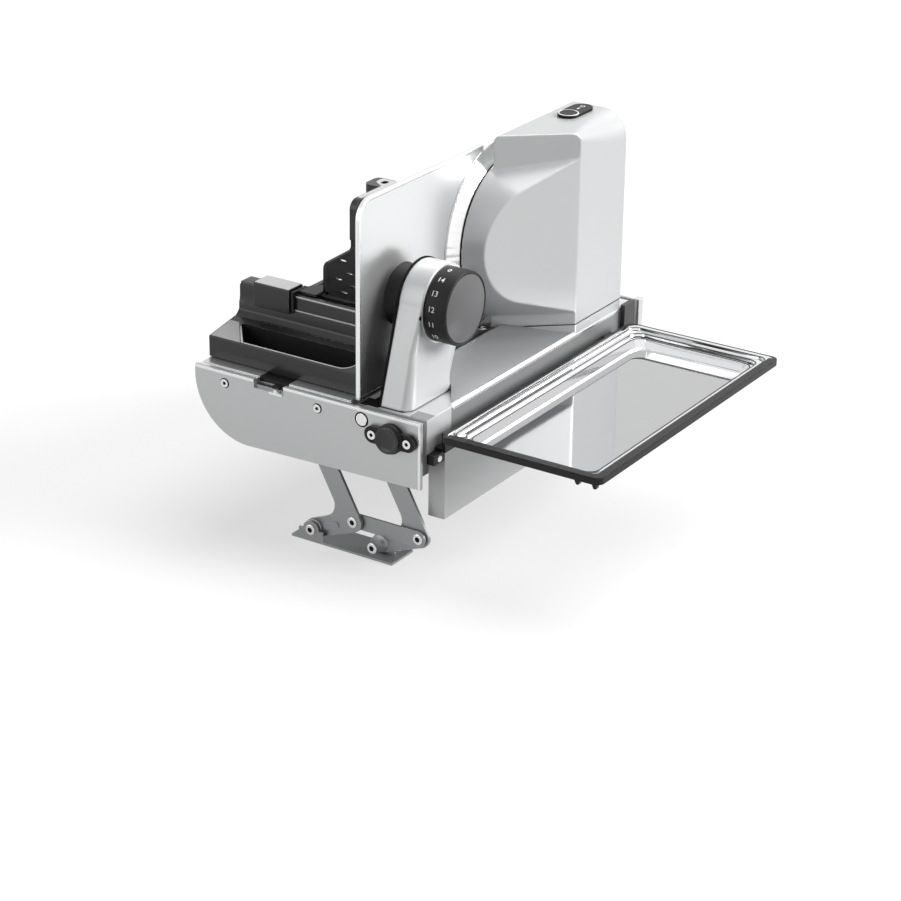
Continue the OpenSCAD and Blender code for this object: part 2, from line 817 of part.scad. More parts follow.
// Stop plate and its dial
module plate_2d() {
    difference() {
        union() {
            translate([plate_y, plate_bottom])
                square([plate_edge_y - plate_y, plate_top - plate_corner_r - plate_bottom]);
            translate([plate_y + plate_corner_r, plate_bottom])
                square([plate_edge_y - plate_y - plate_corner_r, plate_top - plate_bottom]);
            translate([plate_y + plate_corner_r, plate_top - plate_corner_r]) circle(plate_corner_r);
        }
        translate([blade_y, blade_z]) circle(blade_r + plate_gap);
    }
}
module stop_plate() color("lightgray") machine() prism_x(plate_l, plate_l + plate_t) plate_2d();
module plate_boss() color("black") machine()
    rod_x(boss_r, plate_l + plate_t, arm_l + boss_in, dial_y, dial_z);
module plate_spindle() color("silver") machine()
    rod_x(spindle_r, arm_l + boss_in, arm_r, dial_y, dial_z);
module dial() color("black") machine() difference() {
    rod_x(dial_r, dial_l_x, dial_l_x + dial_l, dial_y, dial_z);
    rod_x(dial_r - dial_edge, dial_l_x + dial_l - dial_face_t, dial_l_x + dial_l + over, dial_y, dial_z);
    rod_x(collar_r + run_gap, dial_l_x - over, arm_r + collar_l + loose_gap, dial_y, dial_z);
    rod_x(spindle_r + loose_gap, dial_l_x - over, arm_r + slice_max + over, dial_y, dial_z);
}

// Carriage and food holder
module carriage_bed() color("lightgray") machine() difference() {
    block(bed_l, carriage_r, block_y, base_d - block_y, -bed_t, 0);
    block(notch_x, notch_x + notch_w, 0, base_d, -strip_drop - strip_t, over);
}
module channel_strip() color("black") machine()
    block(notch_x, notch_x + notch_w, block_y, base_d - block_y, -strip_drop - strip_t, -strip_drop);

// Trough in front of the push wall, food floor behind it, and the keel that slides in the channel
module carriage_body() color("dimgray") machine() difference() {
    union() {
        prism_x(carriage_x, carriage_r) polygon([
            [carriage_y, slide_h],
            [carriage_y, lip_h + slide_h],
            [wall_foot_y, wall_foot_h],
            [wall_y, wall_bend_h],
            [wall_y + wall_t, wall_bend_h],
            [wall_y + wall_t, slide_h]
        ]);
        block(carriage_x, carriage_r, carriage_y, carriage_y + carriage_l, slide_h, floor_t);
        block(carriage_x, carriage_x + floor_rim, carriage_y, carriage_y + carriage_l,
            slide_h, lip_h + slide_h);
        block(notch_x + run_gap, notch_x + notch_w - run_gap, carriage_y, carriage_y + carriage_l,
            -strip_drop + run_gap, slide_h + over);
    }
    prism_z(floor_t, wall_bend_h + over) polygon([
        [trough_l, carriage_y + trough_wall],
        [trough_r, carriage_y + trough_wall],
        [trough_r, trough_back],
        [trough_l - trough_slant, trough_back]
    ]);
}
module push_wall() color("dimgray") machine() difference() {
    block(carriage_x, carriage_r, wall_y, wall_y + wall_t, wall_bend_h, wall_h);
    block(groove_l, carriage_r + over, wall_y + groove_side, wall_y + wall_t - groove_side,
        wall_h - groove_h, wall_h + over);
}

// Grip that hangs over the push wall, with its tongue in the wall's groove
module holder_slider() color("gray") machine() {
    block(grip_l, grip_r, grip_y, wall_y - loose_gap, grip_bottom, wall_h + grip_t);
    block(grip_l, grip_r, grip_y, wall_y + wall_t + over, wall_h + loose_gap, wall_h + grip_t);
    block(grip_r - over, spike_x, wall_y + groove_side, spike_y + spike_in,
        wall_h + loose_gap, wall_h + bar_h);
    block(groove_l + over, grip_r, wall_y + groove_side + run_gap, wall_y + wall_t - groove_side - run_gap,
        wall_h - groove_h + loose_gap, wall_h + over);
}
module spike_plate() color("black") machine()
    prism_x(spike_x, spike_x + spike_t) polygon([
        [spike_y, shield_bottom],
        [spike_y + shield_d, shield_bottom],
        [spike_y + shield_d, shield_top],
        [spike_y + shield_step_y, shield_top],
        [spike_y + shield_step_y, shield_low_top],
        [spike_y, shield_low_top]
    ]);
module spikes() color("silver") machine()
    for (row = [0:2]) for (col = [0:5])
        translate([spike_x + spike_t, spike_y + spike_in + spike_step * col, spike_base_z + spike_step * row])
            rotate([0, 90, 0]) cylinder(r1 = spike_r, r2 = spike_tip_r, h = spike_l);
module holder_head() color("dimgray") machine() {
    block(spike_x - strip_w, spike_x, spike_y + shield_step_y, spike_y + shield_d, head_z, head_z + head_h);
    block(spike_x - head_w, spike_x - strip_w + over, spike_y + head_in, spike_y + shield_d,
        head_z, head_z + head_h);
}

// Tray that hangs on the right side
module rounded_2d(x0, y0, w, l, r) {
    translate([x0 + r, y0]) square([w - 2 * r, l]);
    translate([x0, y0 + r]) square([w, l - 2 * r]);
    for (x = [x0 + r, x0 + w - r]) for (y = [y0 + r, y0 + l - r]) translate([x, y]) circle(r);
}
module tray_frame() color("black") machine() difference() {
    prism_z(tray_z - rim_t, tray_z) tray_2d(0);
    prism_z(tray_z - rim_t - over, tray_z + over) tray_2d(tray_rim);
}
module tray_pan() color("whitesmoke") machine() difference() {
    union() {
        prism_z(tray_z, tray_z + pan_t) tray_2d(pan_lap);
        prism_z(tray_z - pan_depth, tray_z) tray_2d(tray_rim + loose_gap);
    }
    prism_z(tray_z - pan_depth + pan_t, tray_z + pan_t + over) tray_2d(tray_rim + pan_side);
}
module tray_2d(inset)
    rounded_2d(tray_x + inset, tray_y + inset, tray_w - 2 * inset, tray_l - 2 * inset, tray_r);

// Hooks that reach over the rail's lip and down behind it
module tray_hooks() color("black") machine()
    for (y = [tray_y + hook_in, hook_end - hook_in - hook_w]) {
        block(hook_x, tray_x + tray_rim / 2, y, y + hook_w, rail_bottom + rail_h + loose_gap, tray_z - rim_t);
        block(hook_x, hook_x + hook_t, y, y + hook_w, rail_bottom + rail_w + over, tray_z - rim_t);
    }
module mains_inlet() color("black") machine() {
    difference() {
        block(inlet_l, inlet_l + inlet_w, housing_back, housing_back + inlet_t, inlet_z, inlet_z + inlet_h);
        block(inlet_l + inlet_wall, inlet_l + inlet_w - inlet_wall, housing_back + inlet_t / 2,
            housing_back + inlet_t + over, inlet_z + inlet_wall, inlet_z + inlet_h - inlet_wall);
    }
    for (side = [-1, 1])
        rod_y(inlet_pin_r, housing_back + inlet_t / 4, housing_back + inlet_t,
            inlet_l + inlet_w / 2 + side * inlet_pin_pitch / 2, inlet_z + inlet_h / 2);
}

front_bracket();
rear_bracket();
bracket_pins();
left_arm_front();
left_arm_rear();
lift_shaft();
right_arm_front();
right_arm_rear();
heel_link_front();
heel_link_rear();
heel_pins();
right_heel_pins();
base_tub();
front_frame();
rear_frame();
front_cheek();
rear_cheek();
cheek_screws();
arm_pins();
fold_pins();
notch_guide();
latch_housing();
latch_screws();
latch_knob();
latch_bolt();
chassis();
front_end_block();
rear_end_block();
end_seal();
end_cap();
apron();
tray_rail();
dial_arm();
motor_housing();
blade_shroud();
switch_bezel();
switch_button();
motor_stator();
motor_bearings();
armature();
pinion();
gear_wheel();
blade();
blade_bolt();
stop_plate();
plate_boss();
plate_spindle();
dial();
carriage_bed();
channel_strip();
carriage_body();
push_wall();
holder_slider();
spike_plate();
spikes();
holder_head();
tray_frame();
tray_hooks();
tray_pan();
mains_inlet();
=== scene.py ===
import bpy
import bmesh
import math
from mathutils import Vector, Matrix
from mathutils.geometry import tessellate_polygon


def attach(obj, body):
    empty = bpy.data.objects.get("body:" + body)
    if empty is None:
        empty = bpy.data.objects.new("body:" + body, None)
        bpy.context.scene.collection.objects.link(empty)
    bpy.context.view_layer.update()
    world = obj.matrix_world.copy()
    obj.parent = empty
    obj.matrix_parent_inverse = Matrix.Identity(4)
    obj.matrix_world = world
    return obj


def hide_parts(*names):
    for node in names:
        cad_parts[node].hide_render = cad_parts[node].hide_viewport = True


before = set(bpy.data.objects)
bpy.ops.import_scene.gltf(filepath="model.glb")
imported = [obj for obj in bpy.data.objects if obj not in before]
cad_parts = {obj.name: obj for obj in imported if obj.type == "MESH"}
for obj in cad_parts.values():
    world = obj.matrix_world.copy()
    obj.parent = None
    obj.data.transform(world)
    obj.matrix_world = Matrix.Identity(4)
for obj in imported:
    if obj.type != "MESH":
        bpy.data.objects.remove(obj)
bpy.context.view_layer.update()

# Lengths below are millimetres from the top right front corner of the front cheek:
# x runs right along the cheek, y runs back, z is up
CORNER = Vector((-81.0, 176.5, -137.0))
DEPTH = 353.0

# Places that several pieces share
BLADE = (226, 86.5)                             # centre of the blade: back, up
DIAL = (71.6, 77.6)                             # centre of the dial: back, up
DIAL_RADIUS = 32
GUARD_RADIUS = 73.4                             # housing's edge round the blade
PLATE_LEFT, PLATE_RIGHT = -71, -67.6
HOUSING_LEFT, HOUSING_REAR, ROOF = -58, 326, 184
SEAM = 8.2                                      # level where the housing meets the casting
CARRIAGE_LEFT, CARRIAGE_RIGHT = -232.5, -75.7
LAND, LAND_SLOPE = 19.35, 0.1792                # carriage's sloping top: height at y 20, rise
SPIKE_SHIELD = (-155, -152)
TRAY = (14.5, 6, 165.5, 319)


def at(x, y, z):
    """Point of the part in metres, from its place in millimetres"""
    return (Vector((x, y, z)) - CORNER) / 1000


# Camera
view = bpy.data.cameras.new("view")
view.sensor_width = 36
view.lens = 107.88
view.clip_start = 0.1
camera = bpy.data.objects.new("view", view)
bpy.context.scene.collection.objects.link(camera)
right = Vector((0.837812, 0.545845, 0.011161))
up = Vector((-0.230585, 0.335246, 0.913477))
ahead = Vector((-0.494875, 0.767896, -0.406737))
place = Matrix((right, up, -ahead)).transposed().to_4x4()
place.translation = at(1113.73, -1683.33, 875.81)
camera.matrix_world = place
bpy.context.scene.camera = camera


# Shared finishes: node groups that give colours, roughness and heights
def node_group(name, inputs, outputs):
    group = bpy.data.node_groups.new(name, "ShaderNodeTree")
    for title, kind, value in inputs:
        socket = group.interface.new_socket(name=title, in_out="INPUT", socket_type=kind)
        if value is not None:
            socket.default_value = value
    for title, kind in outputs:
        group.interface.new_socket(name=title, in_out="OUTPUT", socket_type=kind)
    start = group.nodes.new("NodeGroupInput")
    end = group.nodes.new("NodeGroupOutput")
    return group, start, end


def add(tree, kind, values=None, **settings):
    node = tree.nodes.new(kind)
    for key, value in settings.items():
        setattr(node, key, value)
    for key, value in (values or {}).items():
        node.inputs[key].default_value = value
    return node


FLOAT, COLOUR, VECTOR = "NodeSocketFloat", "NodeSocketColor", "NodeSocketVector"
FINISH_OUT = [("Color", COLOUR), ("Roughness", FLOAT), ("Height", FLOAT)]


def tint(tree, colour, factor, amount):
    """Colour made a little lighter or darker where factor goes up or down from a half"""
    scale = add(tree, "ShaderNodeMath", operation="MULTIPLY_ADD")
    tree.links.new(factor, scale.inputs[0])
    tree.links.new(amount, scale.inputs[1])
    scale.inputs[2].default_value = 1.0
    mix = add(tree, "ShaderNodeVectorMath", operation="SCALE")
    tree.links.new(colour, mix.inputs[0])
    tree.links.new(scale.outputs[0], mix.inputs["Scale"])
    return mix.outputs[0]


def centred(tree, value):
    node = add(tree, "ShaderNodeMath", operation="SUBTRACT")
    tree.links.new(value, node.inputs[0])
    node.inputs[1].default_value = 0.5
    return node.outputs[0]


def vary(tree, base, value, amount):
    node = add(tree, "ShaderNodeMath", operation="MULTIPLY_ADD")
    tree.links.new(value, node.inputs[0])
    tree.links.new(amount, node.inputs[1])
    tree.links.new(base, node.inputs[2])
    return node.outputs[0]


def satin_paint_group():
    """Metallic paint: fine flakes, a slow change of gloss and the slight peel of a sprayed coat"""
    g, a, z = node_group("satin paint", [
        ("Vector", VECTOR, None), ("Color", COLOUR, (0.8, 0.8, 0.8, 1)), ("Roughness", FLOAT, 0.35),
        ("Flake", FLOAT, 0.05), ("Gloss change", FLOAT, 0.05)], FINISH_OUT)
    flake = add(g, "ShaderNodeTexNoise", {"Scale": 2600.0, "Detail": 2.0})
    slow = add(g, "ShaderNodeTexNoise", {"Scale": 22.0, "Detail": 3.0})
    peel = add(g, "ShaderNodeTexNoise", {"Scale": 420.0, "Detail": 2.0})
    for n in (flake, slow, peel):
        g.links.new(a.outputs["Vector"], n.inputs["Vector"])
    colour = tint(g, a.outputs["Color"], centred(g, flake.outputs[0]), a.outputs["Flake"])
    g.links.new(colour, z.inputs["Color"])
    gloss = vary(g, a.outputs["Roughness"], centred(g, slow.outputs[0]), a.outputs["Gloss change"])
    g.links.new(gloss, z.inputs["Roughness"])
    g.links.new(peel.outputs[0], z.inputs["Height"])
    return g


def brushed_group():
    """Brushed metal: long fine scratches along the axis with the smallest stretch"""
    g, a, z = node_group("brushed metal", [
        ("Vector", VECTOR, None), ("Color", COLOUR, (0.8, 0.8, 0.8, 1)), ("Roughness", FLOAT, 0.3),
        ("Stretch", VECTOR, (60.0, 4000.0, 4000.0)), ("Streaks", FLOAT, 0.08)], FINISH_OUT)
    scale = add(g, "ShaderNodeVectorMath", operation="MULTIPLY")
    g.links.new(a.outputs["Vector"], scale.inputs[0])
    g.links.new(a.outputs["Stretch"], scale.inputs[1])
    streak = add(g, "ShaderNodeTexNoise", {"Scale": 1.0, "Detail": 3.0})
    slow = add(g, "ShaderNodeTexNoise", {"Scale": 30.0, "Detail": 2.0})
    g.links.new(scale.outputs[0], streak.inputs["Vector"])
    g.links.new(a.outputs["Vector"], slow.inputs["Vector"])
    both = add(g, "ShaderNodeMath", operation="ADD")
    g.links.new(centred(g, streak.outputs[0]), both.inputs[0])
    g.links.new(centred(g, slow.outputs[0]), both.inputs[1])
    colour = tint(g, a.outputs["Color"], centred(g, streak.outputs[0]), a.outputs["Streaks"])
    g.links.new(colour, z.inputs["Color"])
    gloss = vary(g, a.outputs["Roughness"], both.outputs[0], a.outputs["Streaks"])
    g.links.new(gloss, z.inputs["Roughness"])
    g.links.new(streak.outputs[0], z.inputs["Height"])
    return g


def moulded_group():
    """Moulded plastic: spark grain and faint flow marks"""
    g, a, z = node_group("moulded plastic", [
        ("Vector", VECTOR, None), ("Color", COLOUR, (0.05, 0.05, 0.05, 1)), ("Roughness", FLOAT, 0.4),
        ("Grain", FLOAT, 1500.0), ("Flow", FLOAT, 0.1)], FINISH_OUT)
    grain = add(g, "ShaderNodeTexNoise", {"Detail": 3.0, "Roughness": 0.6})
    flow = add(g, "ShaderNodeTexNoise", {"Scale": 18.0, "Detail": 3.0, "Distortion": 0.6})
    g.links.new(a.outputs["Vector"], grain.inputs["Vector"])
    g.links.new(a.outputs["Grain"], grain.inputs["Scale"])
    g.links.new(a.outputs["Vector"], flow.inputs["Vector"])
    colour = tint(g, a.outputs["Color"], centred(g, flow.outputs[0]), a.outputs["Flow"])
    g.links.new(colour, z.inputs["Color"])
    gloss = vary(g, a.outputs["Roughness"], centred(g, flow.outputs[0]), a.outputs["Flow"])
    g.links.new(gloss, z.inputs["Roughness"])
    g.links.new(grain.outputs[0], z.inputs["Height"])
    return g


def ground_rings_group():
    """Ground metal: fine rings about the blade's axis, which runs along x"""
    g, a, z = node_group("ground rings", [
        ("Vector", VECTOR, None), ("Color", COLOUR, (0.8, 0.8, 0.8, 1)), ("Roughness", FLOAT, 0.2),
        ("Centre", VECTOR, (0.0, 0.0, 0.0)), ("Streaks", FLOAT, 0.08)], FINISH_OUT)
    off = add(g, "ShaderNodeVectorMath", operation="SUBTRACT")
    flat = add(g, "ShaderNodeVectorMath", operation="MULTIPLY")
    flat.inputs[1].default_value = (0.0, 1.0, 1.0)
    length = add(g, "ShaderNodeVectorMath", operation="LENGTH")
    ring = add(g, "ShaderNodeTexNoise", {"Scale": 2400.0, "Detail": 2.0}, noise_dimensions="1D")
    g.links.new(a.outputs["Vector"], off.inputs[0])
    g.links.new(a.outputs["Centre"], off.inputs[1])
    g.links.new(off.outputs[0], flat.inputs[0])
    g.links.new(flat.outputs[0], length.inputs[0])
    g.links.new(length.outputs["Value"], ring.inputs["W"])
    colour = tint(g, a.outputs["Color"], centred(g, ring.outputs[0]), a.outputs["Streaks"])
    g.links.new(colour, z.inputs["Color"])
    gloss = vary(g, a.outputs["Roughness"], centred(g, ring.outputs[0]), a.outputs["Streaks"])
    g.links.new(gloss, z.inputs["Roughness"])
    g.links.new(ring.outputs[0], z.inputs["Height"])
    return g


def edge_wear_group():
    """Painted edge highlight: lighter where the surface turns sharply, broken up by noise"""
    g, a, z = node_group("painted edge highlight", [
        ("Vector", VECTOR, None), ("Color", COLOUR, (0.8, 0.8, 0.8, 1)),
        ("Highlight color", COLOUR, (0.9, 0.9, 0.9, 1)), ("Amount", FLOAT, 0.4)],
        [("Color", COLOUR), ("Mask", FLOAT)])
    bevel = add(g, "ShaderNodeBevel", {"Radius": 0.0006}, samples=4)
    geometry = add(g, "ShaderNodeNewGeometry")
    dot = add(g, "ShaderNodeVectorMath", operation="DOT_PRODUCT")
    noise = add(g, "ShaderNodeTexNoise", {"Scale": 160.0, "Detail": 4.0})
    turn = add(g, "ShaderNodeMapRange", {"From Min": 0.98, "From Max": 0.75})
    patch = add(g, "ShaderNodeMapRange", {"From Min": 0.35, "From Max": 0.6})
    mask = add(g, "ShaderNodeMath", operation="MULTIPLY")
    level = add(g, "ShaderNodeMath", operation="MULTIPLY")
    mix = add(g, "ShaderNodeMix", data_type="RGBA")
    g.links.new(bevel.outputs[0], dot.inputs[0])
    g.links.new(geometry.outputs["Normal"], dot.inputs[1])
    g.links.new(dot.outputs["Value"], turn.inputs["Value"])
    g.links.new(a.outputs["Vector"], noise.inputs["Vector"])
    g.links.new(noise.outputs[0], patch.inputs["Value"])
    g.links.new(turn.outputs[0], mask.inputs[0])
    g.links.new(patch.outputs[0], mask.inputs[1])
    g.links.new(mask.outputs[0], level.inputs[0])
    g.links.new(a.outputs["Amount"], level.inputs[1])
    g.links.new(level.outputs[0], mix.inputs["Factor"])
    g.links.new(a.outputs["Color"], mix.inputs["A"])
    g.links.new(a.outputs["Highlight color"], mix.inputs["B"])
    g.links.new(mix.outputs["Result"], z.inputs["Color"])
    g.links.new(level.outputs[0], z.inputs["Mask"])
    return g


SATIN = satin_paint_group()
BRUSHED = brushed_group()
MOULDED = moulded_group()
RINGS = ground_rings_group()
EDGE_HIGHLIGHT = edge_wear_group()


def finish(name, group, colour, roughness, metallic=0.0, bump=0.1, relief=0.0001, coat=0.0, highlight_colour=None,
           highlight_amount=0.4, specular=0.5, **group_values):
    """Material from one of the finish groups, with painted highlights on its edges if a highlight colour is
    given
    """
    material = bpy.data.materials.new(name)
    material.use_nodes = True
    tree = material.node_tree
    shader = tree.nodes["Principled BSDF"]
    shader.inputs["Metallic"].default_value = metallic
    shader.inputs["Specular IOR Level"].default_value = specular
    shader.inputs["Coat Weight"].default_value = coat
    shader.inputs["Coat Roughness"].default_value = 0.12
    coords = add(tree, "ShaderNodeTexCoord")
    surface = add(tree, "ShaderNodeGroup")
    surface.node_tree = group
    tree.links.new(coords.outputs["Object"], surface.inputs["Vector"])
    surface.inputs["Color"].default_value = (*colour, 1)
    surface.inputs["Roughness"].default_value = roughness
    for key, value in group_values.items():
        surface.inputs[key.replace("_", " ").capitalize()].default_value = value
    colour_out = surface.outputs["Color"]
    if highlight_colour:
        edges = add(tree, "ShaderNodeGroup")
        edges.node_tree = EDGE_HIGHLIGHT
        tree.links.new(coords.outputs["Object"], edges.inputs["Vector"])
        tree.links.new(colour_out, edges.inputs["Color"])
        edges.inputs["Highlight color"].default_value = (*highlight_colour, 1)
        edges.inputs["Amount"].default_value = highlight_amount
        colour_out = edges.outputs["Color"]
    tree.links.new(colour_out, shader.inputs["Base Color"])
    tree.links.new(surface.outputs["Roughness"], shader.inputs["Roughness"])
    dent = add(tree, "ShaderNodeBump", {"Strength": bump, "Distance": relief})
    tree.links.new(surface.outputs["Height"], dent.inputs["Height"])
    tree.links.new(dent.outputs["Normal"], shader.inputs["Normal"])
    return material


silver_paint = finish("silver paint", SATIN, (0.58, 0.585, 0.59), 0.34, 0.25, 0.03, 0.0001, 0.1,
                      specular=0.4, Flake=0.05)
ramp_paint = finish("ramp paint", SATIN, (0.27, 0.274, 0.278), 0.42, 0.25, 0.04, 0.0001, 0.1, Flake=0.05)
cheek_metal = finish("satin cheek", BRUSHED, (0.53, 0.535, 0.54), 0.36, 0.6, 0.05, 0.00003, Streaks=0.05)
# Bright metal of the rims, flanges and discs; also the painted highlight along the ramp's right edge
rim_and_highlight_metal = finish("bright rim and painted highlight", BRUSHED, (0.74, 0.745, 0.75), 0.26, 0.8, 0.04, 0.00003, Streaks=0.04)
block_paint = finish("end block paint", SATIN, (0.66, 0.665, 0.67), 0.36, 0.35, 0.04, 0.0001, Flake=0.05)
plate_metal = finish("anodised plate", BRUSHED, (0.80, 0.805, 0.81), 0.3, 0.8, 0.02, 0.00002,
                     Stretch=(4000.0, 4000.0, 60.0), Streaks=0.015)
plate_edge = finish("polished plate edge", BRUSHED, (0.93, 0.93, 0.93), 0.2, 0.85, 0.02, 0.00002,
                    Stretch=(60.0, 60.0, 60.0), Streaks=0.02)
bed_metal = finish("brushed bed", BRUSHED, (0.66, 0.665, 0.67), 0.3, 0.85, 0.08, 0.00003,
                   Stretch=(4000.0, 60.0, 4000.0), Streaks=0.07)
sheet_metal = finish("grey painted sheet", SATIN, (0.42, 0.425, 0.43), 0.42, 0.3, 0.05, 0.0001, Flake=0.06)
apron_paint = finish("apron paint", SATIN, (0.55, 0.555, 0.56), 0.4, 0.3, 0.05, 0.0001, Flake=0.05)
zinc = finish("zinc grey", BRUSHED, (0.33, 0.335, 0.34), 0.38, 0.6, 0.14, 0.00005,
              highlight_colour=(0.8, 0.8, 0.8), highlight_amount=0.7, Streaks=0.14)
turned_steel = finish("turned steel", BRUSHED, (0.72, 0.72, 0.72), 0.22, 0.9, 0.06, 0.00003,
                      Stretch=(3000.0, 60.0, 3000.0), Streaks=0.06)
blade_steel = finish("ground blade", RINGS, (0.97, 0.97, 0.97), 0.2, 0.85, 0.04, 0.00003,
                     Centre=tuple(at(PLATE_LEFT - 0.5, *BLADE)), Streaks=0.03)
mirror_steel = finish("polished pan", BRUSHED, (0.86, 0.865, 0.87), 0.06, 1.0, 0.006, 0.00002,
                      Stretch=(60.0, 60.0, 60.0), Streaks=0.015)
# Same polished steel as the pan with a darker base colour: painted darker reflection on the pan's floor
pan_floor_shaded = finish("pan floor painted darker", BRUSHED, (0.54, 0.543, 0.547), 0.05, 1.0, 0.006, 0.00002,
                    Stretch=(60.0, 60.0, 60.0), Streaks=0.015)
black_plastic = finish("black plastic", MOULDED, (0.012, 0.012, 0.0125), 0.36, 0.0, 0.08, 0.00005,
                       highlight_colour=(0.16, 0.16, 0.16), highlight_amount=0.5, specular=0.22, Grain=1600.0, Flow=0.08)
# Near-black for gaps, holes and marks; pieces of it also stand in as painted shade in shaded gaps and
# recesses
dark_gap_and_shade = finish("dark gap and painted shade", MOULDED, (0.006, 0.006, 0.006), 0.7, 0.0, 0.05, 0.00004, specular=0.1,
                  Grain=900.0, Flow=0.08)
gloss_black = finish("gloss black", MOULDED, (0.006, 0.006, 0.0062), 0.3, 0.0, 0.02, 0.00003,
                     highlight_colour=(0.2, 0.2, 0.2), highlight_amount=0.4, specular=0.12, Grain=1200.0, Flow=0.04)
charcoal = finish("charcoal plastic", MOULDED, (0.026, 0.026, 0.0272), 0.28, 0.0, 0.04, 0.00004, 0.05,
                  highlight_colour=(0.5, 0.5, 0.5), highlight_amount=0.8, specular=0.35, Grain=1300.0, Flow=0.08)
# Lighter grey for the trough's top: painted sheen where light falls on it
top_sheen_plastic = finish("painted top sheen plastic", MOULDED, (0.4, 0.4, 0.405), 0.32, 0.0, 0.04, 0.00004, 0.2,
                      Grain=1300.0, Flow=0.08)
# Light grey for the painted highlights along the push wall's ledges and round the pocket's top edge
highlight_plastic = finish("painted highlight plastic", MOULDED, (0.62, 0.62, 0.625), 0.3, 0.0, 0.04, 0.00004, 0.2,
                        Grain=1300.0, Flow=0.08)
dial_side = finish("dial flank", MOULDED, (0.012, 0.012, 0.0125), 0.5, 0.0, 0.25, 0.00008,
                   highlight_colour=(0.12, 0.12, 0.12), highlight_amount=0.4, specular=0.2, Grain=1100.0, Flow=0.08)
dial_grey = finish("dial face", MOULDED, (0.115, 0.115, 0.118), 0.42, 0.0, 0.06, 0.00004,
                   highlight_colour=(0.3, 0.3, 0.3), highlight_amount=0.4, specular=0.3, Grain=1800.0, Flow=0.05)
print_white = finish("printed white", MOULDED, (0.9, 0.9, 0.9), 0.5, 0.0, 0.05, 0.00002,
                     Grain=2500.0, Flow=0.03)
insert_grey = finish("grey insert", MOULDED, (0.3, 0.3, 0.305), 0.4, 0.0, 0.06, 0.00004,
                     Grain=1500.0, Flow=0.05)
# Light grey laid on the tops of the grip and the holder's head: painted sheen where light falls on them
top_sheen_grey = finish("painted top sheen", MOULDED, (0.66, 0.66, 0.665), 0.4, 0.0, 0.08, 0.00004, Grain=1500.0, Flow=0.05)
seal_black = finish("seal rubber", MOULDED, (0.05, 0.05, 0.052), 0.6, 0.0, 0.1, 0.00005,
                    Grain=900.0, Flow=0.1)
gear_nylon = finish("natural nylon", MOULDED, (0.72, 0.68, 0.58), 0.4, 0.0, 0.05, 0.00004,
                    Grain=1000.0, Flow=0.05)
winding = finish("varnished winding", BRUSHED, (0.6, 0.28, 0.12), 0.35, 0.8, 0.2, 0.0001,
                 Stretch=(60.0, 900.0, 900.0), Streaks=0.2)
iron = finish("laminated iron", BRUSHED, (0.16, 0.16, 0.165), 0.5, 0.8, 0.2, 0.0001,
              Stretch=(1800.0, 60.0, 60.0), Streaks=0.2)


# Mesh helpers; shapes are drawn in millimetres
def soft_corners(points, radii, steps=8):
    """Outline with each corner rounded by its radius"""
    if not isinstance(radii, (list, tuple)):
        radii = [radii] * len(points)
    out = []
    n = len(points)
    for i, (p, r) in enumerate(zip(points, radii)):
        p = Vector(p)
        a = (Vector(points[i - 1]) - p)
        b = (Vector(points[(i + 1) % n]) - p)
        if r <= 0:
            out.append(tuple(p))
            continue
        la, lb = a.length, b.length
        a.normalize()
        b.normalize()
        half = a.angle(b) / 2
        reach = min(r / math.tan(half), la * 0.49, lb * 0.49)
        rr = reach * math.tan(half)
        centre = p + (a + b).normalized() * (rr / math.sin(half))
        start = p + a * reach - centre
        end = p + b * reach - centre
        turn = start.angle_signed(end)
        for k in range(steps + 1):
            t = -turn * k / steps
            c, s = math.cos(t), math.sin(t)
            out.append((centre.x + start.x * c - start.y * s, centre.y + start.x * s + start.y * c))
    return out


def arc(cx, cy, r, a0, a1, steps):
    return [(cx + r * math.cos(math.radians(a0 + (a1 - a0) * k / steps)),
             cy + r * math.sin(math.radians(a0 + (a1 - a0) * k / steps))) for k in range(steps + 1)]


def circle(cx, cy, r, steps=48):
    return arc(cx, cy, r, 0, 360, steps)[:-1]


def lift(axis, a, b, t):
    return {"x": (t, a, b), "y": (a, t, b), "z": (a, b, t)}[axis]


def slab(bm, axis, outline, low, high, holes=()):
    """Plate with straight sides and holes, drawn in the plane across an axis"""
    loops = [outline] + list(holes)
    flat = [[Vector((p[0], p[1], 0)) for p in loop] for loop in loops]
    faces = tessellate_polygon(flat)
    ends = []
    for t in (low, high):
        ends.append([[bm.verts.new(lift(axis, p[0], p[1], t)) for p in loop] for loop in loops])
    for side in ends:
        all_verts = [v for loop in side for v in loop]
        for tri in faces:
            try:
                bm.faces.new([all_verts[i] for i in tri])
            except ValueError:
                pass
    for lower, upper in zip(*ends):
        n = len(lower)
        for i in range(n):
            bm.faces.new((lower[i], lower[(i + 1) % n], upper[(i + 1) % n], upper[i]))
    bmesh.ops.dissolve_limit(bm, angle_limit=0.001, verts=bm.verts, edges=bm.edges)
    return bm


def turned(bm, axis, centre, profile, steps=64, knurl=None):
    """Turned shape about an axis; the profile lists (place along the axis, radius)"""
    rows = []
    for t, r in profile:
        row = []
        for k in range(steps):
            a = 2 * math.pi * k / steps
            rr = r + (knurl(t, r, k) if knurl else 0)
            p = lift(axis, centre[0] + rr * math.cos(a), centre[1] + rr * math.sin(a), t)
            row.append(bm.verts.new(p))
        rows.append(row)
    for one, two in zip(rows, rows[1:]):
        for k in range(steps):
            bm.faces.new((one[k], one[(k + 1) % steps], two[(k + 1) % steps], two[k]))
    for row in (rows[0], rows[-1]):
        bm.faces.new(row)
    return bm


def box_of(bm, x0, x1, y0, y1, z0, z1):
    slab(bm, "z", [(x0, y0), (x1, y0), (x1, y1), (x0, y1)], z0, z1)
    return bm


def rounded_box(x0, y0, x1, y1, r):
    return soft_corners([(x0, y0), (x1, y0), (x1, y1), (x0, y1)], r)


